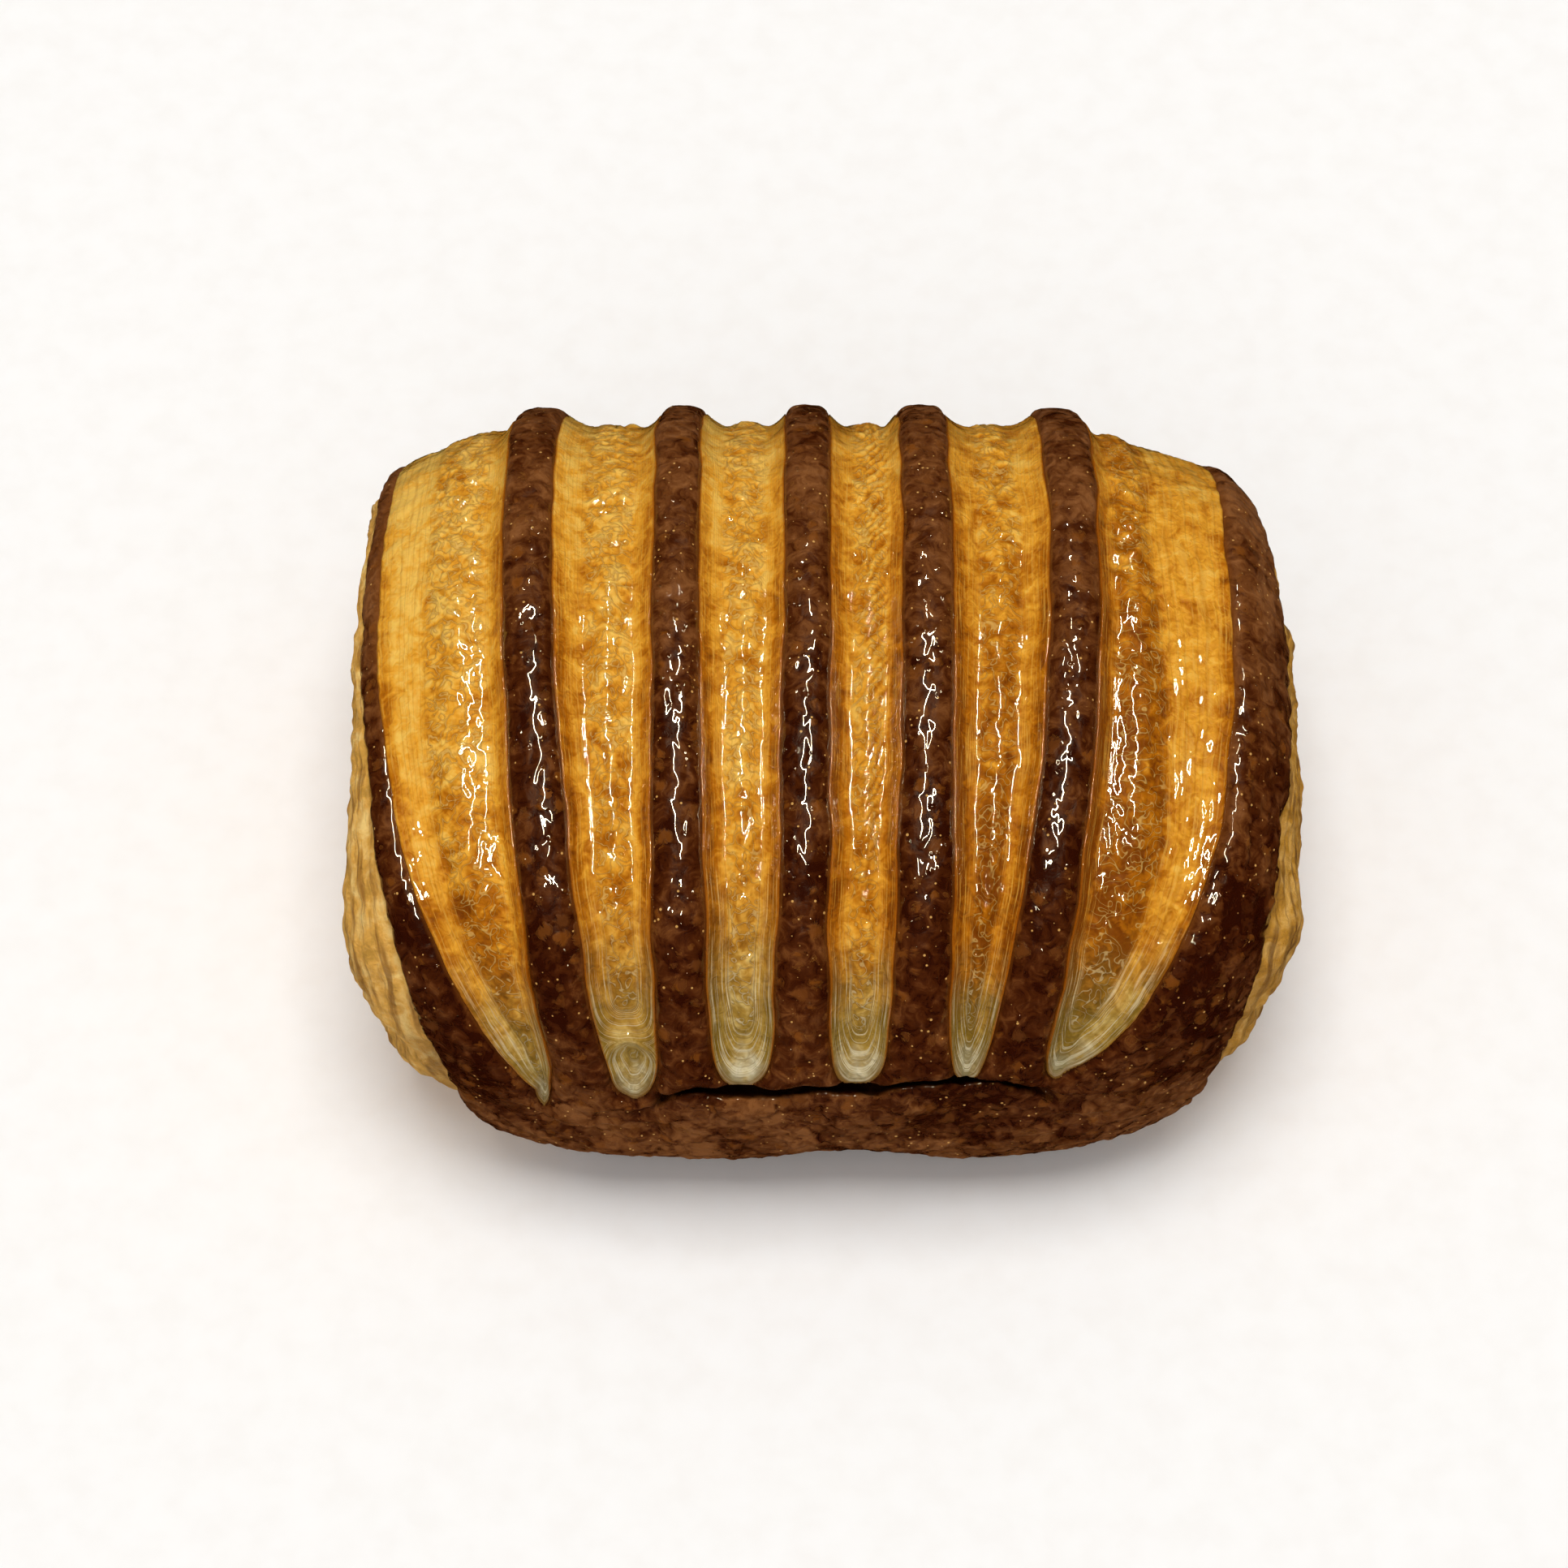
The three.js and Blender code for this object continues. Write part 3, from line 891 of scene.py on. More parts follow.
@dataclass
class Wrap:
    """The dark chocolate wrap: seven ribs, the front under them, the lip and the underside."""

    shape: RollShape
    slits: SlitPattern
    folds: Folds
    crown_radius: float = 2.8
    crown_powers: Pair = (3.8, 2.3)
    crown_fall: float = 1.6
    groove_floor: float = 3.3
    wall_width: float = 0.6
    edge_radius: float = 1.3
    least_edge_radius: float = 0.4
    edge_waver: float = 0.45
    edge_waver_length: float = 5.0
    edge_spread: float = 0.6
    edge_spread_place: Pair = (3.0, 16.0)
    crown_ease: Pair = (-24.0, -8.0)
    tuck: float = 3.4
    tuck_shares: tuple[float, ...] = (0.004, 0.03, 0.12, 0.3, 0.5, 0.7, 0.88)
    flaps: tuple[tuple[float, ...], ...] = (
        (-8.3, 55.6, 3.0, 2.3, 0.4), (4.6, 56.4, 5.6, 2.6, 0.32), (-20.5, 63.5, 5.0, 2.6, 0.3),
        (-2.6, 61.6, 1.9, 2.2, 0.3), (20.5, 62.0, 3.4, 2.8, 0.28), (10.0, 63.5, 2.6, 2.0, 0.25),
        (-14.5, 60.5, 2.4, 2.4, 0.28), (-26.0, 57.5, 2.4, 3.0, 0.25),
        (40.8, 22.0, 2.2, 5.0, 0.25), (37.5, 33.0, 2.4, 4.0, 0.22), (31.0, 44.0, 3.0, 3.4, 0.2),
    )
    rib_columns: int = 17
    strip_columns: int = 13
    left_columns: int = 16
    right_columns: int = 30
    column_bunching: float = 0.6
    relax_front: Pair = (58.0, 78.0)
    relax_back: Pair = (62.0, 76.0)
    lump_size: float = 2.8
    lump_height: float = 0.09
    blister_size: float = 1.5
    blister_reach: Pair = (0.12, 0.4)
    blister_height: float = 0.08
    dimple_reach: Pair = (0.2, 0.5)
    dimple_depth: float = 0.06
    wrinkle_size: Pair = (0.9, 3.5)
    wrinkle_height: float = 0.1
    wrinkle_end: Pair = (-14.0, 2.0)
    hide_size: float = 2.3
    hide_height: float = 0.17
    hide_sharpness: float = 2.2
    hide_top: float = 0.7
    leather_along: Pair = (36.0, 41.0)
    leather_round: Pair = (-8.0, 20.0)
    leather_front: Pair = (26.0, 46.0)
    leather_share: float = 0.6
    flake_size: Pair = (0.9, 6.0)
    flake_height: float = 0.13
    flake_start: Pair = (60.0, 64.0)
    crust_fade: Pair = (74.0, 86.0)
    flap_ragged: float = 0.34
    flap_grain: Pair = (1.9, 2.3)
    flap_rim: Pair = (0.9, 1.03)
    flap_rim_width: float = 0.07
    flaky_lip: Pair = (48.0, 55.0)
    flaky_along: Pair = (34.0, 40.0)
    flaky_round: Pair = (14.0, 30.0)
    flaky_end: float = 0.8
    baked: tuple[Pair, ...] = (
        (-100.0, 0.5), (-70.0, 0.52), (-30.0, 0.56), (-14.0, 0.54), (2.0, 0.38), (12.0, 0.2),
        (36.0, 0.2), (50.0, 0.32), (58.0, 0.58), (68.0, 0.7), (84.0, 0.64), (100.0, 0.6),
    )
    rows: tuple[Pair, ...] = (
        (-115.0, 2.4), (-86.0, 1.2), (-60.0, 0.9), (-40.0, 0.5), (-26.0, 0.4), (40.0, 0.4),
        (47.0, 0.25), (56.0, 0.25), (61.0, 0.34), (84.0, 0.42), (92.0, 1.2), (115.0, 2.4),
    )

    def edge_at(self, side: Side, arc: Array) -> Array:
        """The wrap's wavering edge at one end, spread a little over the end near the crest."""
        waver = Grain(Seed.EDGES).rough(arc / self.edge_waver_length, 9.1 * side.value, layers=3)
        spread = self.edge_spread * bell(arc, *self.edge_spread_place)
        return self.shape.edge_at(side, arc) + spread + self.edge_waver * waver

    def columns(self, arc: Array) -> Array:
        """Places of the columns in each row. They follow the strips' sides.

        Args:
            arc: The rows' arcs.

        Returns:
            One row of places along the roll for each arc.
        """
        left_edge = -self.edge_at(Side.LEFT, arc)
        right_edge = self.edge_at(Side.RIGHT, arc)
        lines = self.slits.lines(arc)
        stops = [left_edge, *lines, right_edge]
        counts = [self.left_columns]
        for _ in self.slits.strips:
            counts += [self.strip_columns, self.rib_columns]
        counts[-1] = self.right_columns
        columns = []
        for index, count in enumerate(counts):
            share = np.linspace(0.0, 1.0, count, endpoint=False)
            bunched = mix(share, 0.5 - 0.5 * np.cos(np.pi * share), self.column_bunching)
            columns.append(mix(stops[index][:, None], stops[index + 1][:, None], bunched))
        columns.append(right_edge[:, None])
        placed = np.concatenate(columns, axis=1)
        even = np.linspace(0.0, 1.0, placed.shape[1])
        spread = mix(left_edge[:, None], right_edge[:, None], even)
        front = smooth(*self.relax_front, arc)
        back = smooth(*self.relax_back, -arc)
        return mix(placed, spread, (front + back)[:, None])

    def inside_strips(self, arc: Array, x: Array) -> Array:
        """How many millimetres a place is inside the nearest strip, negative on the ribs."""
        lines = self.slits.lines(arc)
        deepest = np.full(np.shape(x), FAR_OUTSIDE)
        for index in range(len(self.slits.strips)):
            deepest = np.maximum(deepest, self.slits.inside(index, arc, x, lines)[1])
        return deepest

    def rib_relief(self, inside: Array, arc: Array) -> Array:
        """The ribs' crowns, flatter behind, and the grooves that the strips lie in."""
        near = np.clip(1.0 + inside / self.crown_radius, 0.0, 1.0)
        power = mix(*self.crown_powers, smooth(*self.crown_ease, arc))
        crown = -self.crown_fall * (1.0 - np.sqrt(1.0 - near**power))
        drop = self.groove_floor - self.crown_fall
        return crown - drop * smooth(0.0, self.wall_width, inside)

    def crust_relief(self, arc: Array, x: Array, points: Array) -> Array:
        """The crust's lumps and blisters, the back's wrinkles and the right end's leathery folds.

        Args:
            arc: Arcs round the roll.
            x: Places along it.
            points: The plain roll's points there.

        Returns:
            The relief, in millimetres.
        """
        place = [points[..., k] for k in range(3)]
        lower = smooth(*self.leather_front, arc)
        end = smooth(*self.leather_along, x) * smooth(*self.leather_round, arc)
        leather = np.clip(end + self.leather_share * lower, 0.0, 1.0)
        lumps = self.lump_height * Grain(Seed.LUMPS).rough(*[p / self.lump_size for p in place])
        blister = Grain(Seed.BLISTERS).rough(*[p / self.blister_size for p in place])
        patches = self.blister_height * smooth(*self.blister_reach, blister)
        patches = patches - self.dimple_depth * smooth(*self.dimple_reach, -blister)
        around, along = self.wrinkle_size
        folds = Grain(Seed.WRINKLES).rough(arc / around, x / along)
        wrinkles = self.wrinkle_height * folds * (1.0 - smooth(*self.wrinkle_end, arc))
        hide = np.abs(Grain(Seed.HIDE).rough(*[p / self.hide_size for p in place]))
        creases = self.hide_height * np.minimum(1.0 - self.hide_sharpness * hide, self.hide_top)
        around, along = self.flake_size
        layers = Grain(Seed.FLAKES).rough(arc / around, x / along)
        layers = layers * smooth(*self.flake_start, arc)
        relief = lumps + patches * mix(0.6, 1.3, leather) + wrinkles + creases * leather
        relief = relief + self.flake_height * layers
        calm = 1.0 - smooth(*self.crust_fade, np.abs(arc))
        return relief * mix(0.2, 1.0, calm) + self.flap_relief(arc, x)[0]

    def flap_relief(self, arc: Array, x: Array) -> tuple[Array, Array, Array]:
        """The flakes of crust that lie on the lip and on the right end.

        Args:
            arc: Arcs round the roll.
            x: Places along it.

        Returns:
            How far they stand off the crust, in millimetres, how much of one lies there, and
            how near its outline the place is, which darkens the crust there as painted shade.
        """
        around, along = self.flap_grain
        ragged = self.flap_ragged * Grain(Seed.FLAPS).rough(arc / around, x / along, layers=3)
        relief = np.zeros(np.broadcast(arc, x).shape)
        covered = relief
        outline = relief
        for centre, place, half_along, half_round, rise in self.flaps:
            reach = np.hypot((x - centre) / half_along, (arc - place) / half_round) + ragged
            shown = 1.0 - smooth(*self.flap_rim, reach)
            relief = np.maximum(relief, rise * shown * mix(0.6, 1.0, smooth(-1.0, 1.0, arc - place)))
            covered = np.maximum(covered, shown)
            outline = np.maximum(outline, bell(reach, self.flap_rim[1], self.flap_rim_width))
        return relief, covered, outline

    def flakiness(self, arc: Array, x: Array) -> Array:
        """How flaky the crust is, from 0 on the ribs to 1 on the lip and low on the right end."""
        end = smooth(*self.flaky_along, x) * smooth(*self.flaky_round, arc)
        return np.maximum(smooth(*self.flaky_lip, arc), self.flaky_end * end)

    def bake(self, arc: Array, x: Array) -> Array:
        """How light the crust is, from 0 under thick glaze to 1 where it is dry and pale brown."""
        base = np.interp(arc, *zip(*self.baked))
        outer = smooth(38.0, 44.0, np.abs(x)) * (1.0 - smooth(40.0, 62.0, arc))
        glazed = bell(x, 16.0, 8.0) * bell(arc, 58.0, 8.0)
        _, flaked, outline = self.flap_relief(arc, x)
        ragged = Grain(Seed.RIM).rough(arc / 2.0, x / 1.6)
        rim = 0.4 * bell(arc + 0.8 * ragged, 69.3, 1.0) * smooth(-0.35, 0.2, ragged)
        corners = smooth(26.0, 36.0, np.abs(x)) * smooth(24.0, 36.0, arc)
        corners = corners * (1.0 - smooth(56.0, 64.0, arc))
        # The dark line round each flake's foot is painted shade.
        flakes = 0.14 * flaked - 0.3 * outline + rim
        return base + 0.12 * outer - 0.42 * glazed - 0.14 * corners + flakes

    def build(self) -> Piece:
        """Builds the closed wrap.

        Returns:
            The new object.
        """
        arcs = spaced(self.shape.first_arc, self.shape.last_arc, self.rows)[:-1]
        x = self.columns(arcs)
        arc = np.broadcast_to(arcs[:, None], x.shape)
        inside = self.inside_strips(arc, x)
        plain = self.shape.wrap_point(arc, x)
        left_gap = x + self.edge_at(Side.LEFT, arcs)[:, None]
        right_gap = self.edge_at(Side.RIGHT, arcs)[:, None] - x
        narrow = 0.5 * (self.slits.lines(arcs)[0] + self.edge_at(Side.LEFT, arcs))[:, None]
        radius = np.clip(narrow, self.least_edge_radius, self.edge_radius)
        near = np.clip(1.0 - np.minimum(left_gap, right_gap) / radius, 0.0, 1.0)
        edge = -radius * (1.0 - np.sqrt(1.0 - near * near))
        laid, folded = self.folds.lay(arc, x)
        height = self.rib_relief(inside, arc) + folded + edge
        height = height + self.crust_relief(arc, x, plain) * smooth(0.2, -0.6, inside)
        middle = self.shape.raised_side(laid, x, height)
        shares = np.array(self.tuck_shares)
        ring_arc = np.broadcast_to(arcs[:, None], (len(arcs), len(shares)))
        ring_share = np.broadcast_to(shares, ring_arc.shape)
        depth = np.full(ring_arc.shape, -self.tuck)
        rings = [self.shape.raised_end(side, ring_arc, ring_share, depth) for side in Side]
        grid = np.concatenate([rings[0][:, ::-1], middle, rings[1]], axis=1)
        # The crease value carries the painted shade that the chocolate lays inside the crease.
        values = {
            "inside": inside, "bake": self.bake(arc, x), "crease": self.folds.shaded(arc, x),
            "flaky": self.flakiness(arc, x),
        }
        pad = ((0, 0), (len(shares), len(shares)))
        padded = {name: np.pad(value, pad, mode="edge") for name, value in values.items()}
        skin = Skin("chocolate_wrap")
        first = skin.add_points(grid, arc=np.broadcast_to(arcs[:, None], grid.shape[:2]), **padded)
        skin.add_grid(first, grid.shape[0], grid.shape[1], ring=True)
        tips = self._tips()
        last = skin.add_points(tips, arc=0.0, inside=FAR_OUTSIDE, bake=0.5, crease=0.0, flaky=0.0)
        width = grid.shape[1]
        for row in range(len(arcs)):
            here = first + row * width
            after = first + ((row + 1) % len(arcs)) * width
            skin.faces.append([last, after, here])
            skin.faces.append([last + 1, here + width - 1, after + width - 1])
        return skin.build()

    def _tips(self) -> Array:
        """The two middle points that close the wrap behind the layered ends."""
        shift = self.shape.depth / 2.0 - self.shape.back_reach
        reach = self.shape.half_length - self.tuck
        height = self.shape.end_centre_height
        return np.array([[-reach, shift, height], [reach, shift, height]])


@dataclass
class GoldenStrip:
    """One golden strip: cut layers nested along its sides and round its ends, and a crinkled floor."""

    shape: RollShape
    slits: SlitPattern
    folds: Folds
    index: int
    top: float = 0.9
    front_top: float = 0.45
    valley: float = 2.3
    dome: float = 0.7
    layer_count: float = 8.0
    terrace: float = 0.05
    crinkle: float = 0.3
    fine_crinkle: float = 0.015
    overlap: float = 0.7
    under: float = 4.6
    tip_length: float = 5.0
    cell_gap: float = 0.7
    cell_depth: float = 0.35
    cell_squareness: float = 2.4
    membrane_bow: float = 1.2
    membrane_cap: float = 5.0
    raw_waver: float = 2.2
    cut_sway: float = 0.22
    cut_unevenness: float = 0.55
    front_length: float = 16.0
    front_rise: float = 0.9
    valley_power: float = 1.7
    steep_width: float = 1.2
    hidden_slope: float = 2.4
    swell: float = 0.16
    pleat: float = 0.1
    calm_front: Pair = (32.0, 44.0)
    front_calm: float = 0.45
    syrup_place: Pair = (6.0, 20.0)
    blister_rim: tuple[float, float, float] = (0.35, 1.0, 0.35)
    blister_top: tuple[float, float, float] = (0.05, 0.0, 0.7)
    bake_places: tuple[float, float, float] = (-20.0, 12.0, 38.0)
    bake_patches: float = 0.12
    front_paling: float = 0.12
    paling_place: Pair = (38.0, 50.0)
    band_columns: int = 24
    usual_band: float = 4.5
    floor_columns: int = 26
    rows: tuple[Pair, ...] = ((-66.0, 1.2), (-48.0, 0.8), (-34.0, 0.34), (-24.0, 0.26), (64.0, 0.26))

    @property
    def plan(self) -> StripPlan:
        """What sets this strip apart."""
        return self.slits.strips[self.index]

    def looks_layer(self, layer: Array, across: Array, arc: Array) -> Array:
        """The layer coordinate of the surface, which a membrane parts into strip and end cell.

        Args:
            layer: 0 at the strip's outline and 1 in its middle.
            across: -1 at its left side and 1 at its right.
            arc: Arcs round the roll.

        Returns:
            The layer coordinate, 0 at the outline and at the membrane.
        """
        membrane = self.plan.membrane
        if membrane is None:
            return layer
        power = self.slits.end_squareness
        bowed = membrane + self.membrane_bow * across * across
        past = np.maximum(0.0, arc - (bowed - self.membrane_cap)) / self.membrane_cap
        strip = 1.0 - (np.abs(across) ** power + past**power) ** (1.0 / power)
        middle = (membrane + self.plan.front_end) / 2.0 + self.cell_gap / 2.0
        half = (self.plan.front_end - membrane - self.cell_gap) / 2.0
        along = np.abs(arc - middle) / half
        power = self.cell_squareness
        cell = 1.0 - (np.abs(across) ** power + along**power) ** (1.0 / power)
        return np.minimum(layer, np.maximum(strip, cell))

    def crinkles(self, arc: Array, x: Array, across: Array) -> Array:
        """The floor's feathery wrinkles and bubbles.

        Args:
            arc: Arcs round the roll.
            x: Places along it.
            across: -1 at the strip's left side and 1 at its right.

        Returns:
            The wrinkles' heights, about -1 to 1.
        """
        grain = Grain(Seed.CRINKLES + self.index)
        warp_arc = arc + 1.5 * grain.at(x / 2.6, arc / 2.6, 1.5)
        warp_x = x + 1.2 * grain.at(x / 2.6, arc / 2.6, 11.5)
        feather = 1.1 * np.abs(across) * self.slits.band_share * 6.0
        puffs = np.abs(grain.at((warp_arc + feather) / 1.7, warp_x / 2.4, 4.4)) * 2.6 - 0.7
        bubble = np.abs(grain.at(warp_arc / 2.6, warp_x / 2.0, 8.8)) * 2.4 - 0.7
        ripple = grain.at((warp_arc - feather) / 0.9, warp_x / 1.9, 14.2)
        height = mix(puffs, bubble, 0.45) + 0.3 * ripple
        if self.plan.twist:
            turn = (arc + 1.9 * (x - x.mean(axis=1, keepdims=True))) / 1.9
            uneven = 0.7 * grain.rough(x / 2.6, arc / 4.0, 3.3)
            rope = np.abs(np.sin(np.pi * (turn + uneven))) * 1.5 - 0.9
            share = self.plan.twist * smooth(-0.25, 0.1, across) * (1.0 - smooth(22.0, 32.0, arc))
            height = mix(height, rope, share)
        return height

    def sheets(self, layer: Array, arc: Array) -> Array:
        """How many cut sheets of dough a place lies inside the strip's outline."""
        grain = Grain(Seed.SHEETS + self.index)
        sway = self.cut_sway * grain.rough(arc / 9.0, layer * 4.0)
        uneven = self.cut_unevenness * grain.at(layer * 11.0, arc / 40.0, 6.6)
        return layer / self.slits.band_share * self.layer_count + sway + uneven

    def rawness(self, arc: Array, x: Array) -> Array:
        """How little the dough is baked, from 0 to 1 before its front end and 2 at the end."""
        grain = Grain(Seed.RAW + self.index)
        uneven = arc + self.raw_waver * grain.rough(arc / 3.0, x / 1.6)
        start = self.plan.front_end - self.plan.raw_length
        tip = self.plan.front_end - self.tip_length
        return smooth(start, tip, uneven) + smooth(tip, self.plan.front_end - 0.6, uneven)

    def height(self, layer: Array, inside: Array, wrinkled: Array, arc: Array, x: Array) -> Array:
        """How far the strip's surface stands off the plain roll.

        Args:
            layer: 0 at the outline or the membrane and 1 in the middle.
            inside: Millimetres inside the strip's outline.
            wrinkled: The wrinkles' heights, about -1 to 1.
            arc: Arcs round the roll.
            x: Places along it.

        Returns:
            The heights, in millimetres, all negative.
        """
        band = self.slits.band_share
        slope = np.clip(layer / band, 0.0, 1.0)
        wide = np.clip(inside / self.steep_width, 0.0, 1.0)
        forward = smooth(self.plan.front_end - self.front_length, self.plan.front_end - 1.0, arc)
        top = mix(self.top, self.front_top, forward)
        valley = mix(self.valley, self.valley - self.front_rise, forward)
        eased = 1.0 - (1.0 - slope) ** self.valley_power
        fall = -top - (valley - top) * np.minimum(eased, wide)
        grain = Grain(Seed.SHEETS + self.index)
        steps = np.mod(self.sheets(layer, arc), 1.0)
        edge = smooth(0.0, 0.3, steps) - smooth(0.3, 1.0, steps)
        in_band = smooth(0.0, 0.06, layer) * (1.0 - smooth(band, band + 0.1, layer))
        terraces = self.terrace * (edge - 0.5) * in_band
        on_floor = smooth(band - 0.02, band + 0.22, layer)
        rise = self.dome * smooth(band, 1.0, layer) * (1.0 - 0.7 * smooth(24.0, 40.0, arc))
        rise = rise * mix(0.35, 1.0, smooth(-20.0, -4.0, arc))
        soft = grain.rough(arc / 4.0, x / 3.0, 8.8)
        fine = grain.rough(arc / 0.7, x / 0.7, 2.8)
        rough = self.crinkle * wrinkled + self.fine_crinkle * fine
        filled = self.plan.syrup_fill * bell(arc, *self.syrup_place)
        flatter = self.front_calm * smooth(*self.calm_front, arc)
        calm = mix(0.08, 1.0, on_floor) * (1.0 - flatter) * (1.0 - filled)
        pleats = grain.rough(x / 1.7, arc / 7.0, 12.1)
        swell = self.swell * soft + self.pleat * pleats * smooth(0.1, 0.4, layer)
        if self.plan.membrane is not None:
            cell = smooth(self.plan.membrane + 0.6, self.plan.membrane + 2.0, arc)
            swell = swell - self.cell_depth * cell * smooth(0.1, 0.5, layer)
            terraces = terraces * (1.0 - 0.85 * cell)
        rim, *rim_bell = self.blister_rim
        hollow, *hollow_bell = self.blister_top
        for place, along, length, width in self.plan.blisters:
            reach = np.hypot((arc - place) / length, (x - along) / width)
            swell = swell + rim * bell(reach, *rim_bell) - hollow * bell(reach, *hollow_bell)
        hidden = np.minimum(inside, 0.0) * self.hidden_slope
        return fall + terraces + rise + rough * calm + swell + hidden

    def bake(self, across: Array, arc: Array, x: Array) -> Array:
        """How deep the strip is baked, from 0, pale gold, to 1, deep amber."""
        zones = (self.plan.left_bake, self.plan.floor_bake, self.plan.right_bake)
        left, floor, right = (np.interp(arc, self.bake_places, zone) for zone in zones)
        level = mix(left, floor, smooth(-0.6, -0.4, across))
        level = mix(level, right, smooth(0.4, 0.6, across))
        level = level * (1.0 - self.front_paling * smooth(*self.paling_place, arc))
        patches = Grain(Seed.PATCHES + self.index).rough(arc / 7.0, x / 3.0)
        return level + self.bake_patches * patches

    def build(self) -> Piece:
        """Builds the closed strip, with a plain underside sunk in the wrap.

        Returns:
            The new object.
        """
        arcs = spaced(self.slits.back_end - 1.0, self.plan.front_end + 0.5, self.rows)
        lines = self.slits.lines(arcs)
        left = lines[2 * self.index] - self.overlap
        right = lines[2 * self.index + 1] + self.overlap
        share = self._column_shares(float(np.median(right - left)))
        x = mix(left[:, None], right[:, None], share)
        arc = np.broadcast_to(arcs[:, None], x.shape)
        spread = np.repeat(lines[:, :, None], x.shape[1], axis=2)
        outline, inside = self.slits.inside(self.index, arc, x, spread)
        across, _ = self.slits.across(self.index, arc, x, spread)
        layer = self.looks_layer(outline, across, arc)
        laid, folded = self.folds.lay(arc, x)
        wrinkled = self.crinkles(arc, x, across)
        rim = 0.35 * bell(inside, 0.5, 0.6) * smooth(-30.0, -5.0, arc)
        height = self.height(layer, inside, wrinkled, arc, x) + folded
        top = self.shape.raised_side(laid, x, height)
        edges = np.stack([left, right], axis=1)
        edge_arc = np.broadcast_to(arcs[:, None], edges.shape)
        edge_laid, edge_folded = self.folds.lay(edge_arc, edges)
        under = self.shape.raised_side(edge_laid, edges, edge_folded - self.under)
        skin = Skin(f"golden_strip_{self.index + 1}")
        # Painted shade and light: the wrinkles' hollows are made deeper amber and their ridges paler.
        hollow = self.bake(across, arc, x) + rim - 0.3 * wrinkled * smooth(0.3, 0.55, layer)
        sheets = self.sheets(layer, arc)
        values = {"arc": arc, "layer": layer, "inside": inside, "bake": hollow, "sheet": sheets}
        first = skin.add_points(top, raw=self.rawness(arc, x), **values)
        plain = {"arc": edge_arc, "layer": 0.0, "inside": -1.0, "bake": 0.5, "sheet": 0.0}
        below = skin.add_points(under, raw=0.0, **plain)
        rows, columns = x.shape
        skin.add_grid(first, rows, columns, ring=False)
        for row in range(rows - 1):
            here = first + row * columns
            after = here + columns
            low_here = below + 2 * row
            low_after = low_here + 2
            skin.faces.append([low_here, low_after, after, here])
            skin.faces.append([low_here + 1, here + columns - 1, after + columns - 1, low_after + 1])
            skin.faces.append([low_here, low_here + 1, low_after + 1, low_after])
        last = first + (rows - 1) * columns
        skin.faces.append([below, *range(first, first + columns), below + 1])
        end = below + 2 * (rows - 1)
        skin.faces.append([end + 1, *range(last + columns - 1, last - 1, -1), end])
        return skin.build()

    def _column_shares(self, width: float) -> Array:
        """Shares across the strip, closer over its layered bands.

        Args:
            width: The strip's usual width, in millimetres.

        Returns:
            The shares, from 0 to 1.
        """
        left_band = self.plan.left_band[0]
        right_band = self.plan.right_band[0]
        left = (left_band + self.overlap) / width
        right = 1.0 - (right_band + self.overlap) / width
        left_count, right_count = (
            int(self.band_columns * max(1.0, band / self.usual_band)) for band in (left_band, right_band)
        )
        parts = [
            np.linspace(0.0, left, left_count, endpoint=False),
            np.linspace(left, right, self.floor_columns, endpoint=False),
            np.linspace(right, 1.0, right_count + 1),
        ]
        return np.concatenate(parts)


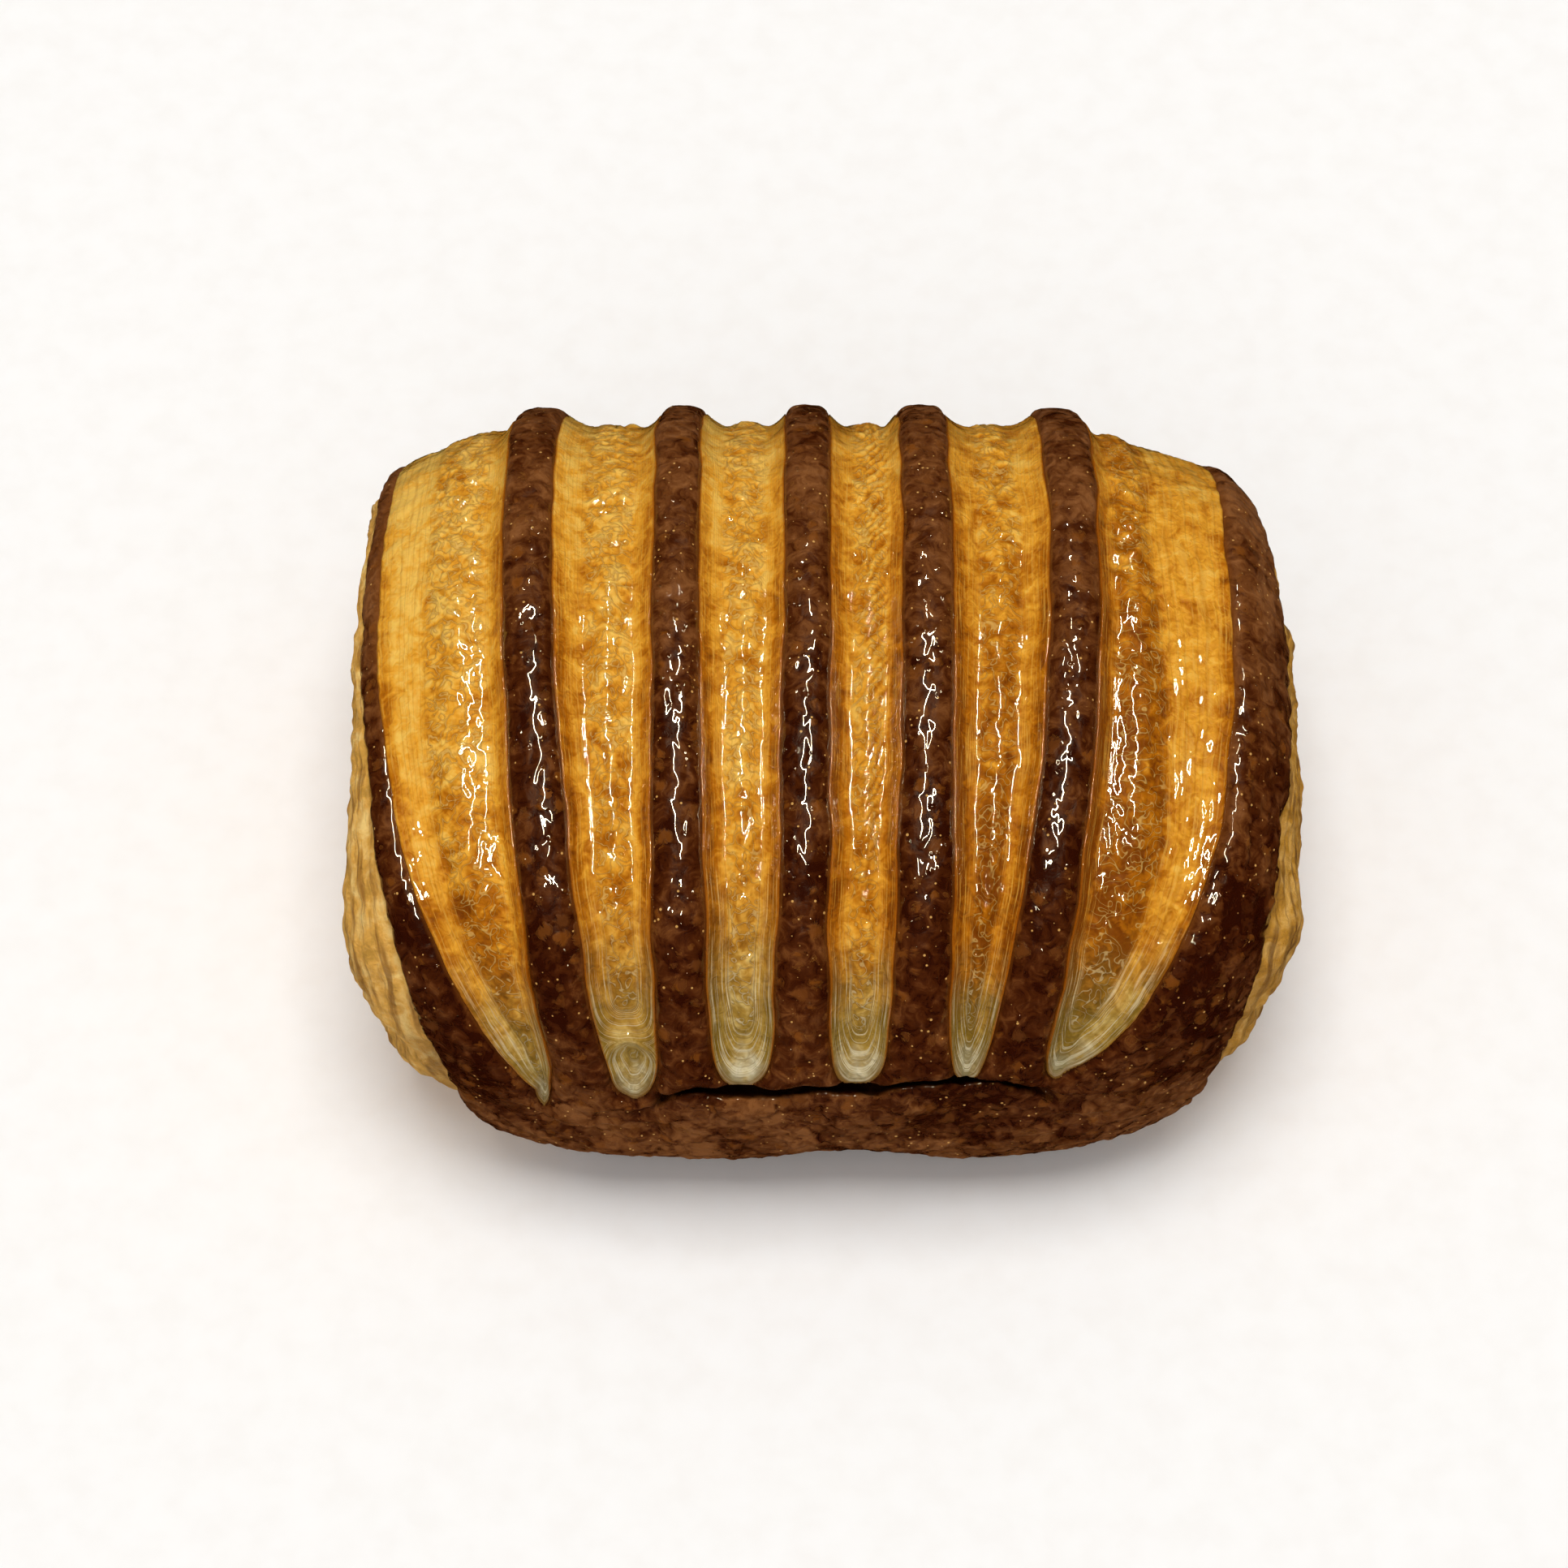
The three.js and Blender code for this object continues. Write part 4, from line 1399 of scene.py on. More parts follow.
@dataclass
class LayeredEnd:
    """One end of the roll: puffed turns of laminated dough, wound in from the crease."""

    shape: RollShape
    side: Side
    crease_arc: float = 53.0
    turns: float = 2.4
    groove: float = 2.3
    rim_sunk: dict = field(default_factory=lambda: {Side.LEFT: -0.3, Side.RIGHT: -1.0})
    rim_puffs: dict = field(
        default_factory=lambda: {
            Side.LEFT: ((18.0, 34.0), (48.0, 60.0), 0.7, 1.1),
            Side.RIGHT: ((26.0, 42.0), (48.0, 60.0), 0.4, 0.2),
        }
    )
    roundness: float = 0.5
    step: float = 1.0
    step_share: float = 0.04
    core_fade: Pair = (0.62, 0.86)
    stick_reach: float = 9.5
    stick_height: float = 21.0
    stick_radius: float = 4.2
    stick_depth: float = 2.0
    sheets_per_turn: float = 9.0
    sheet_relief: float = 0.24
    waver: float = 0.05
    sheet_sway: float = 0.5
    sheet_ridge: float = 0.25
    crumb: float = 0.22
    crumb_size: float = 2.4
    lobe: float = 0.55
    lobe_size: float = 6.5
    settled: float = 0.1
    rim_swell: Pair = (43.0, 9.0)
    row_count: int = 440
    ring_count: int = 88
    last_share: float = 0.985
    skirt_share: float = -0.03
    skirt_depth: float = 2.2
    back_depth: float = 9.0

    def phase(self, arc: Array, share: Array) -> Array:
        """How many turns of dough a place lies inside the seam that starts at the crease."""
        turn = self.shape.turn_at(arc) - self.shape.turn_at(self.crease_arc)
        waver = self.waver * Grain(Seed.TURNS).rough(arc / 16.0, share * 3.0, self.side.value)
        return self.turns * share - turn / FULL_TURN + waver

    def relief(self, arc: Array, share: Array) -> Array:
        """How far the end's surface stands off the plain end.

        Args:
            arc: Arcs round the roll.
            share: 0 at the wrap's edge and 1 at the tip.

        Returns:
            The relief, in millimetres.
        """
        phase = self.phase(arc, share)
        puff = np.abs(np.sin(np.pi * phase)) ** self.roundness
        fade = 1.0 - smooth(*self.core_fade, share)
        step = self.step * np.exp(-((share / self.step_share) ** 2))
        points = self.shape.end_point(self.side, arc, share)
        away = np.hypot(np.abs(points[..., 1]) - self.stick_reach, points[..., 2] - self.stick_height)
        hollow = self.stick_depth * np.exp(-((away / self.stick_radius) ** 2))
        grain = Grain(Seed.CRUMB)
        sway = self.sheet_sway * grain.rough(arc / 9.0, share * 6.0)
        sheets = np.mod(phase * self.sheets_per_turn + sway, 1.0)
        ridge = smooth(0.0, self.sheet_ridge, sheets) - smooth(self.sheet_ridge, 1.0, sheets)
        crumbs = [points[..., k] / self.crumb_size for k in range(3)]
        lobes = [points[..., k] / self.lobe_size for k in range(3)]
        crumb = self.crumb * grain.rough(*crumbs)
        crumb = crumb + self.lobe * Grain(Seed.LOBES).rough(*lobes)
        sunk = np.maximum(step, self.groove * (1.0 - puff) * fade)
        grown, shrunk, puffed, more = self.rim_puffs[self.side]
        low = smooth(*grown, arc) * (1.0 - smooth(*shrunk, arc))
        rim = mix(self.rim_sunk[self.side], puffed, low) + more * bell(arc, *self.rim_swell)
        rim = rim * bell(share, 0.2, 0.2)
        return rim - sunk - hollow + self.sheet_relief * ridge + crumb - self.settled

    def build(self) -> Piece:
        """Builds the closed end, a cap whose hidden back is a cone inside the wrap.

        Returns:
            The new object.
        """
        start = self.shape.first_arc
        length = self.shape.last_arc - start
        arcs = start + length * np.arange(self.row_count) / self.row_count
        shares = np.linspace(0.0, self.last_share, self.ring_count)
        shares = np.concatenate([[self.skirt_share], shares])
        arc = np.broadcast_to(arcs[:, None], (self.row_count, len(shares)))
        share = np.broadcast_to(shares, arc.shape)
        height = np.where(share < 0.0, -self.skirt_depth, self.relief(arc, share))
        grid = self.shape.raised_end(self.side, arc, share, height)
        skin = Skin("layered_end_" + self.side.name.lower())
        phase = self.phase(arc, share)
        # The groove value marks where the ends' material paints shade into the grooves.
        groove = (1.0 - np.abs(np.sin(np.pi * phase)) ** self.roundness) * smooth(0.0, 0.05, share)
        groove = groove * (1.0 - smooth(*self.core_fade, share))
        first = skin.add_points(grid, arc=arc, phase=phase, groove=groove)
        flip = self.side is Side.LEFT
        skin.add_grid(first, self.row_count, len(shares), ring=True, flip=flip)
        centre = grid[:, -1].mean(axis=0)
        inner = centre - np.array([self.side.value * self.back_depth, 0.0, 0.0])
        core = {"arc": 0.0, "phase": self.turns, "groove": 0.0}
        tips = skin.add_points(np.stack([centre, inner]), **core)
        width = len(shares)
        for row in range(self.row_count):
            here = first + row * width
            after = first + ((row + 1) % self.row_count) * width
            outer = [tips, here + width - 1, after + width - 1]
            hidden = [tips + 1, after, here]
            if flip:
                outer.reverse()
                hidden.reverse()
            skin.faces.append(outer)
            skin.faces.append(hidden)
        return skin.build()


def linear(code: str) -> tuple[float, float, float, float]:
    """Turns an sRGB hex colour into linear values.

    Args:
        code: A hex colour such as "d9962f".

    Returns:
        Linear red, green and blue, and an alpha of 1.
    """
    channels = [int(code[start:start + 2], 16) / 255.0 for start in (0, 2, 4)]
    values = [c / 12.92 if c <= 0.04045 else ((c + 0.055) / 1.055) ** 2.4 for c in channels]
    return (*values, 1.0)


def add_node(tree: bpy.types.NodeTree, kind: str, settings: dict | None = None,
             inputs: dict | tuple = (), stops: tuple[tuple[float, str], ...] = ()) -> Node:
    """Adds one shader node with its settings and links.

    Args:
        tree: The node tree of a material or of the room.
        kind: The node's type name, without "ShaderNode".
        settings: Properties to set on the node.
        inputs: What the inputs get, by name or number or in order: a value to set, or a socket
            or a node to link. A node gives the first of its outputs that is in use.
        stops: For a colour ramp, positions and sRGB hex colours.

    Returns:
        The new node.
    """
    node = tree.nodes.new("ShaderNode" + kind)
    for name, value in (settings or {}).items():
        setattr(node, name, value)
    given = inputs if isinstance(inputs, dict) else dict(enumerate(inputs))
    for name, value in given.items():
        if isinstance(value, Node):
            value = next(output for output in value.outputs if output.enabled)
        if isinstance(value, bpy.types.NodeSocket):
            tree.links.new(value, node.inputs[name])
        else:
            node.inputs[name].default_value = value
    if stops:
        elements = node.color_ramp.elements
        while len(elements) < len(stops):
            elements.new(1.0)
        for element, (position, code) in zip(elements, stops):
            element.position = position
            element.color = linear(code)
    return node


def per_mm(size: float) -> float:
    """The texture scale, in object coordinates of metres, of lumps of a size in millimetres."""
    return 1.0 / (size * MM)


class Recipe:
    """A new node material, with the places and mesh values that its finish reads."""

    def __init__(self, name: str, *attributes: str) -> None:
        """Starts the material.

        Args:
            name: The material's name.
            *attributes: Names of the mesh's values to read.
        """
        self.material = bpy.data.materials.new(name)
        self.material.use_nodes = True
        self.material.node_tree.nodes.clear()
        self.add = partial(add_node, self.material.node_tree)
        self.place = self.add("TexCoord").outputs["Object"]
        self.read = {
            key: self.add("Attribute", {"attribute_name": key}).outputs["Fac"]
            for key in attributes
        }

    def combed(self, stretch: float) -> Node:
        """Texture coordinates in millimetres that are stretched round the roll.

        Args:
            stretch: How many times longer the pattern is round the roll than along it.

        Returns:
            The coordinates' node.
        """
        along = self.add("SeparateXYZ", inputs=(self.place,))
        across = self.add("Math", MULTIPLY, (along, 1.0 / MM))
        round_roll = self.add("Math", MULTIPLY, (self.read["arc"], 1.0 / stretch))
        return self.add("CombineXYZ", inputs=(across, round_roll))


@dataclass(frozen=True)
class ChocolateCrust:
    """Chocolate dough, baked and brushed with syrup.

    The dough is mottled with paler flecks and tan specks of butter, which are bright enough to stand
    in for small glints too and so are partly painted highlight. The dried syrup over it gives the eye
    deep maroon pools and thin, broken, very bright lines, and the crease's inside is painted near
    black as shade.
    """

    pooled: str = "300c01"
    dark: str = "4b2006"
    middle: str = "6a3a16"
    light: str = "865228"
    # Painted shade: the near black inside the crease.
    crease: str = "1d0801"
    fleck: str = "874a12"
    fleck_rim: str = "9c6426"
    # Tan specks of butter, bright enough to stand in for small glints too: partly painted highlight.
    speck_and_glint: str = "d6a259"
    cut_edge: str = "7c4517"
    base: str = "7a4a22"
    patch_mm: float = 6.0
    mottle_mm: float = 1.5
    fleck_mm: float = 1.7
    flake_mm: float = 3.6
    speck_mm: float = 0.75
    bubble_mm: float = 1.15
    glaze_mm: float = 1.35
    glaze_stretch: float = 1.6
    # The dough's own grain, about 0.1 mm, is too fine to show and is drawn three times as coarse.
    grain_mm: float = 0.3
    stir_mm: float = 2.3
    patch_depth: float = 1.0
    mottle_depth: float = 1.8
    plate_lights: Span = (0.35, 0.9, -0.1, 0.14)
    plate_gaps: Span = (0.0, 0.05, -0.22, 0.0)
    fleck_sizes: Span = (0.2, 1.0, 0.0, 0.55)
    fleck_cover: Span = (0.0, 0.2, 0.0, 0.62)
    fleck_rim_band: Pair = (0.035, 0.022)
    fleck_rim_cover: float = 0.35
    speck_sizes: Span = (0.4, 1.0, 0.0, 0.22)
    speck_cover: Span = (0.0, 0.05, 0.0, 0.9)
    base_cover: Span = (84.0, 96.0, 0.0, 0.8)
    cut_cover: Span = (-0.4, -0.1, 0.0, 0.6)
    bubble_sizes: Span = (0.5, 1.0, 0.1, 0.42)
    glaze_bump_mm: float = 0.25
    bubble_bump_mm: float = 0.14
    fleck_bump: Pair = (0.6, 0.1)
    mottle_bump: Pair = (0.5, 0.25)
    grain_bump: Pair = (0.35, 0.08)
    roughness: Span = (0.2, 0.8, 0.3, 0.55)
    glaze_cover: Span = (0.75, 0.35, 0.15, 0.9)

    def build(self) -> Finish:
        """Makes the material.

        Returns:
            The new material.
        """
        recipe = Recipe("baked_chocolate_dough", "arc", "bake", "flaky", "inside", "crease")
        add, place, read = recipe.add, recipe.place, recipe.read
        patch = add("TexNoise", inputs={"Vector": place, "Scale": per_mm(self.patch_mm), "Detail": 2.0})
        mottle = add("TexNoise", inputs={
            "Vector": place, "Scale": per_mm(self.mottle_mm), "Detail": 5.0, "Roughness": 0.65,
            "Distortion": 0.8,
        })
        patched, mottled = (
            add("Math", MULTIPLY_ADD, (noise, depth, -depth / 2.0))
            for noise, depth in ((patch, self.patch_depth), (mottle, self.mottle_depth))
        )
        uneven = add("Math", ADD, (patched, mottled))
        level = add("Math", ADD, (uneven, read["bake"]))
        # The mottling shifts the flecks and the flakes a little, which gives them ragged edges.
        pushed = add(
            "VectorMath", {"operation": "SCALE"},
            {0: mottle.outputs["Color"], "Scale": self.stir_mm * MM},
        )
        stirred = add("VectorMath", ADD, (place, pushed))
        colour = self._flaked(add, stirred, level, read["flaky"])
        colour, fleck = self._flecked(add, stirred, colour)
        # Tan specks of butter, partly painted highlight where they stand in for small glints.
        specks = add("TexVoronoi", inputs={"Vector": place, "Scale": per_mm(self.speck_mm)})
        speck_pick = add("SeparateColor", inputs=(specks.outputs["Color"],))
        speck_size = add("MapRange", inputs=(speck_pick.outputs["Green"], *self.speck_sizes))
        in_speck = add("Math", SUBTRACT, (speck_size, specks))
        speck_and_glint = add("MapRange", inputs=(in_speck, *self.speck_cover))
        from_crest = add("Math", ABSOLUTE, (read["arc"],))
        under = add("MapRange", inputs=(from_crest, *self.base_cover))
        at_cut = add("MapRange", inputs=(read["inside"], *self.cut_cover))
        # The crease's near black is painted shade inside it, and the syrup's coat is left off there too.
        hidden = add("Math", MINIMUM, (read["crease"], 1.0))
        for share, code in (
            (speck_and_glint, self.speck_and_glint), (under, self.base), (at_cut, self.cut_edge), (hidden, self.crease),
        ):
            colour = add("Mix", COLOURS, {0: share, 6: colour, 7: linear(code)})
        coat = self._glaze(recipe)
        grain = add("TexNoise", inputs={"Vector": place, "Scale": per_mm(self.grain_mm), "Detail": 2.0})
        skin = coat
        for height, (strength, depth) in (
            (fleck, self.fleck_bump), (mottle, self.mottle_bump), (grain, self.grain_bump),
        ):
            skin = add("Bump", inputs={
                "Strength": strength, "Distance": depth * MM, "Height": height, "Normal": skin,
            })
        rough = add("MapRange", inputs=(level, *self.roughness))
        brushed = add("MapRange", inputs=(level, *self.glaze_cover))
        wet = add("Math", CLAMPED_SUBTRACT, (brushed, hidden))
        shader = add("BsdfPrincipled", inputs={
            "Base Color": colour, "Roughness": rough, "Normal": skin, "IOR": DOUGH_IOR,
            "Specular IOR Level": BARE_GLOSS, "Coat Weight": wet, "Coat Normal": coat,
            "Coat Roughness": GLAZE_ROUGHNESS, "Coat IOR": GLAZE_IOR,
        })
        add("OutputMaterial", inputs=(shader,))
        return recipe.material

    def _flaked(self, add: Callable[..., Node], stirred: Source, level: Source, flaky: Source) -> Node:
        """The dough's mottled browns, in plates with darker gaps where the crust is flaky.

        Args:
            add: Adds a node to the material.
            stirred: The shifted place.
            level: How light the crust is.
            flaky: How flaky it is.

        Returns:
            The colour's node.
        """
        plates, plate_rims = (
            add("TexVoronoi", {"feature": feature}, {"Vector": stirred, "Scale": per_mm(self.flake_mm)})
            for feature in ("F1", "DISTANCE_TO_EDGE")
        )
        pick = add("SeparateColor", inputs=(plates.outputs["Color"],))
        light = add("MapRange", inputs=(pick.outputs["Red"], *self.plate_lights))
        gap = add("MapRange", inputs=(plate_rims.outputs["Distance"], *self.plate_gaps))
        tone = add("Math", ADD, (light, gap))
        plated = add("Math", MULTIPLY_ADD, (tone, flaky, level))
        stops = ((0.0, self.pooled), (0.3, self.dark), (0.6, self.middle), (0.95, self.light))
        return add("ValToRGB", inputs=(plated,), stops=stops)

    def _flecked(self, add: Callable[..., Node], stirred: Source, colour: Source) -> tuple[Node, Node]:
        """Lays paler flecks with fine light rims over the browns.

        Args:
            add: Adds a node to the material.
            stirred: The shifted place.
            colour: The browns.

        Returns:
            The colour's node, and the node of the flecks' share.
        """
        cells = add("TexVoronoi", inputs={"Vector": stirred, "Scale": per_mm(self.fleck_mm)})
        pick = add("SeparateColor", inputs=(cells.outputs["Color"],))
        size = add("MapRange", inputs=(pick.outputs["Red"], *self.fleck_sizes))
        inside = add("Math", SUBTRACT, (size, cells))
        fleck = add("MapRange", EASED, (inside, *self.fleck_cover))
        rim = add("Math", {"operation": "COMPARE"}, (inside, *self.fleck_rim_band))
        picked = add("Math", MULTIPLY, (rim, pick.outputs["Blue"]))
        rim_share = add("Math", MULTIPLY, (picked, self.fleck_rim_cover))
        tone = add(
            "Mix", COLOURS,
            {0: pick.outputs["Green"], 6: linear(self.fleck), 7: linear(self.middle)},
        )
        filled = add("Mix", COLOURS, {0: fleck, 6: colour, 7: tone})
        rimmed = add("Mix", COLOURS, {0: rim_share, 6: filled, 7: linear(self.fleck_rim)})
        return rimmed, fleck

    def _glaze(self, recipe: Recipe) -> Node:
        """The syrup's surface, which flowed round the roll and dried with small bubbles.

        Args:
            recipe: The material.

        Returns:
            The node of the coat's normal.
        """
        add = recipe.add
        glaze = add("TexNoise", inputs={
            "Vector": recipe.combed(self.glaze_stretch), "Scale": 1.0 / self.glaze_mm, "Detail": 0.0,
            "Distortion": 0.6,
        })
        cells = add("TexVoronoi", inputs={"Vector": recipe.place, "Scale": per_mm(self.bubble_mm)})
        pick = add("SeparateColor", inputs=(cells.outputs["Color"],))
        size = add("MapRange", inputs=(pick.outputs["Blue"], *self.bubble_sizes))
        bubble = add("MapRange", EASED, (cells, 0.0, size, 1.0, 0.0))
        flowed = add("Bump", inputs={
            "Strength": 1.0, "Distance": self.glaze_bump_mm * MM, "Height": glaze,
        })
        return add("Bump", inputs={
            "Strength": 1.0, "Distance": self.bubble_bump_mm * MM, "Height": bubble,
            "Normal": flowed,
        })


@dataclass(frozen=True)
class GoldenCrust:
    """Butter dough, slit before baking and glazed.

    It is gold on the crest, amber towards the ribs, and hardly baked at the front, where the cut
    layers show as fine cream lines. The wrinkles are painted deeper amber in their hollows and paler
    on their ridges, and the floor's curled ridges pale with darker sides: painted shade and painted
    light over their bumps.
    """

    pale: str = "f6c257"
    gold: str = "eaa22c"
    amber: str = "b96b08"
    deep: str = "803f03"
    raw_hollow: str = "7d5f1c"
    raw: str = "a78438"
    raw_milky: str = "ceb16a"
    end_hollow: str = "8f7f55"
    end: str = "ac9d78"
    cream: str = "e6d9b4"
    line_dark: str = "985606"
    line_raw: str = "7b5f26"
    pooled: str = "7b5213"
    line_light: str = "e3a842"
    # Painted highlight: the pale colour of the floor's curled ridges.
    worm_highlight: str = "f5cd74"
    edge: str = "954d06"
    mottle_mm: float = 2.4
    crinkle_mm: float = 0.9
    worm_mm: float = 1.5
    glaze_mm: float = 1.3
    glaze_stretch: float = 1.5
    # The crust's grain, about 0.1 mm, is too fine to show and is drawn three times as coarse.
    fine_mm: float = 0.3
    mottle_depth: float = -1.1
    # How far the crinkles shift the colour: painted shade in their hollows, painted light on their
    # ridges.
    crinkle_shade_depth: float = -0.5
    line_drift: float = 0.06
    lines_per_sheet: float = 1.9
    line_reaches: Span = (0.35, 0.65, 0.02, 0.2)
    dark_line_cover: Span = (-0.03, 0.08, 0.0, 0.6)
    light_line_cover: Span = (0.52, 0.64, 0.0, 0.6)
    line_depths: Span = (0.0, 1.0, 0.4, 0.8)
    band_fade: Span = (0.5, 0.6, 1.0, 0.0)
    floor_fade: Span = (0.45, 0.6, 0.0, 1.0)
    worm_line: Span = (0.008, 0.045, 1.0, 0.0)
    worm_shade: Span = (0.05, 0.15, 0.4, 0.0)
    worm_cover: float = 0.38
    inner_line: Pair = (0.5, 0.022)
    inner_cover: float = 0.55
    edge_cover: Span = (0.0, 0.22, 0.85, 0.0)
    pool_cover: Span = (0.3, 1.0, 0.8, 0.0)
    glaze_bump_mm: float = 0.1
    worm_bump: Pair = (0.8, 0.07)
    crinkle_bump: Pair = (0.9, 0.22)
    sheet_bump: Pair = (0.7, 0.1)
    fine_bump: Pair = (0.3, 0.06)

    def build(self) -> Finish:
        """Makes the material.

        Returns:
            The new material.
        """
        recipe = Recipe("baked_golden_dough", "arc", "layer", "inside", "bake", "sheet", "raw")
        add, place, read = recipe.add, recipe.place, recipe.read
        mottle = add("TexNoise", inputs={
            "Vector": place, "Scale": per_mm(self.mottle_mm), "Detail": 3.0, "Distortion": 0.8,
        })
        crinkle = add("TexNoise", inputs={
            "Vector": place, "Scale": per_mm(self.crinkle_mm), "Detail": 1.0, "Distortion": 1.4,
        })
        # The crinkles' hollows are painted deeper amber and their ridges paler: painted shade and light
        # over the same noise's bump.
        mottled, crinkle_shade = (
            add("Math", MULTIPLY_ADD, (noise, depth, -depth / 2.0))
            for noise, depth in ((mottle, self.mottle_depth), (crinkle, self.crinkle_shade_depth))
        )
        uneven = add("Math", ADD, (mottled, crinkle_shade))
        level = add("Math", ADD, (uneven, read["bake"]))
        forward = add("Math", MINIMUM, (read["raw"], 1.0))
        at_end = add("Math", CLAMPED_SUBTRACT, (read["raw"], 1.0))
        baked, raw, end = (
            add("ValToRGB", inputs=(level,), stops=stops)
            for stops in (
                ((0.0, self.pale), (0.3, self.gold), (0.65, self.amber), (1.0, self.deep)),
                ((0.1, self.raw_milky), (0.45, self.raw), (0.9, self.raw_hollow)),
                ((0.1, self.cream), (0.45, self.end), (0.9, self.end_hollow)),
            )
        )
        front = add("Mix", COLOURS, {0: at_end, 6: raw, 7: end})
        colour = add("Mix", COLOURS, {0: forward, 6: baked, 7: front})
        dark_line, light_line, worm_tone = (
            add("Mix", COLOURS, {0: forward, 6: linear(first), 7: linear(last)})
            for first, last in (
                (self.line_dark, self.line_raw), (self.line_light, self.cream),
                (self.worm_highlight, self.cream),
            )
        )
        slow = add("Math", MULTIPLY, (read["arc"], self.line_drift))
        along_sheets = add("CombineXYZ", inputs=(read["sheet"], slow))
        sheets = add("TexNoise", inputs={
            "Vector": along_sheets, "Scale": self.lines_per_sheet, "Detail": 3.0, "Roughness": 0.7,
        })
        dark_share, light_share = self._lines(recipe, along_sheets, sheets, forward)
        # The curled ridges' pale colour is painted highlight, and the darker colour beside them is
        # painted shade, over their bump.
        worm_ridge, worm_shade = self._worms(recipe)
        worm_share = add("Math", MULTIPLY, (worm_ridge, self.worm_cover))
        for share, tone in (
            (dark_share, dark_line), (light_share, light_line), (worm_shade, dark_line),
            (worm_share, worm_tone),
        ):
            colour = add("Mix", COLOURS, {0: share, 6: colour, 7: tone})
        inner = add("Math", {"operation": "COMPARE"}, (read["layer"], *self.inner_line))
        inner_share = add("Math", MULTIPLY, (inner, self.inner_cover))
        inner_front = add("Math", MULTIPLY, (inner_share, forward))
        at_edge = add("MapRange", inputs=(read["inside"], *self.edge_cover))
        near_edge = add("MapRange", inputs=(read["inside"], *self.pool_cover))
        pool = add("Math", MULTIPLY, (near_edge, at_end))
        for share, code in ((inner_front, self.raw_hollow), (at_edge, self.edge), (pool, self.pooled)):
            colour = add("Mix", COLOURS, {0: share, 6: colour, 7: linear(code)})
        fine = add("TexNoise", inputs={"Vector": place, "Scale": per_mm(self.fine_mm), "Detail": 2.0})
        below = {}
        for height, (strength, depth) in (
            (worm_ridge, self.worm_bump), (crinkle, self.crinkle_bump), (sheets, self.sheet_bump),
            (fine, self.fine_bump),
        ):
            skin = add("Bump", inputs={
                "Strength": strength, "Distance": depth * MM, "Height": height, **below,
            })
            below = {"Normal": skin}
        glaze = add("TexNoise", inputs={
            "Vector": recipe.combed(self.glaze_stretch), "Scale": 1.0 / self.glaze_mm, "Detail": 1.0,
            "Roughness": 0.4, "Distortion": 0.8,
        })
        coat = add("Bump", inputs={"Strength": 1.0, "Distance": self.glaze_bump_mm * MM, "Height": glaze})
        shader = add("BsdfPrincipled", inputs={
            "Base Color": colour, "Roughness": 0.4, "Normal": skin, "IOR": DOUGH_IOR,
            "Specular IOR Level": BARE_GLOSS, "Coat Weight": 1.0, "Coat Normal": coat,
            "Coat Roughness": GLAZE_ROUGHNESS, "Coat IOR": GLAZE_IOR, "Subsurface Weight": 0.12,
            "Subsurface Scale": CRUMB_GLOW_MM * MM, "Subsurface Radius": CRUMB_GLOW,
        })
        add("OutputMaterial", inputs=(shader,))
        return recipe.material

    def _lines(self, recipe: Recipe, along_sheets: Source, sheets: Source,
               forward: Source) -> tuple[Node, Node]:
        """The dark and light lines between the cut sheets, which fade out over the floor.

        Args:
            recipe: The material.
            along_sheets: Coordinates that run with the sheets.
            sheets: Their fine unevenness.
            forward: How little the dough is baked.

        Returns:
            The nodes of the dark lines' and the light lines' shares.
        """
        add, read = recipe.add, recipe.read
        broken = add("TexNoise", inputs={"Vector": along_sheets, "Scale": 1.0, "Detail": 2.0})
        cut = add("Math", {"operation": "FRACT"}, (read["sheet"],))
        from_cut = add("Math", {"operation": "PINGPONG"}, (cut, 0.5))
        reach = add("MapRange", inputs=(broken, *self.line_reaches))
        near_line = add("Math", SUBTRACT, (reach, from_cut))
        in_band = add("MapRange", inputs=(read["layer"], *self.band_fade))
        dark = add("MapRange", inputs=(near_line, *self.dark_line_cover))
        light = add("MapRange", inputs=(sheets, *self.light_line_cover))
        depth = add("MapRange", inputs=(forward, *self.line_depths))
        dark = add("Math", MULTIPLY, (dark, depth))
        dark = add("Math", MULTIPLY, (dark, in_band))
        return dark, add("Math", MULTIPLY, (light, in_band))

    def _worms(self, recipe: Recipe) -> tuple[Node, Node]:
        """The floor's fine curled ridges, where a slow noise passes its middle value.

        Args:
            recipe: The material.

        Returns:
            The nodes of the ridges' pale share, painted highlight, and of the painted shade beside them.
        """
        add, read = recipe.add, recipe.read
        noise = add("TexNoise", inputs={
            "Vector": recipe.place, "Scale": per_mm(self.worm_mm), "Detail": 0.0, "Distortion": 1.5,
        })
        middle = add("Math", SUBTRACT, (noise, 0.5))
        away = add("Math", ABSOLUTE, (middle,))
        on_floor = add("MapRange", inputs=(read["layer"], *self.floor_fade))
        line = add("MapRange", EASED, (away, *self.worm_line))
        side = add("MapRange", inputs=(away, *self.worm_shade))
        ridge = add("Math", MULTIPLY, (line, on_floor))
        return ridge, add("Math", MULTIPLY, (side, on_floor))


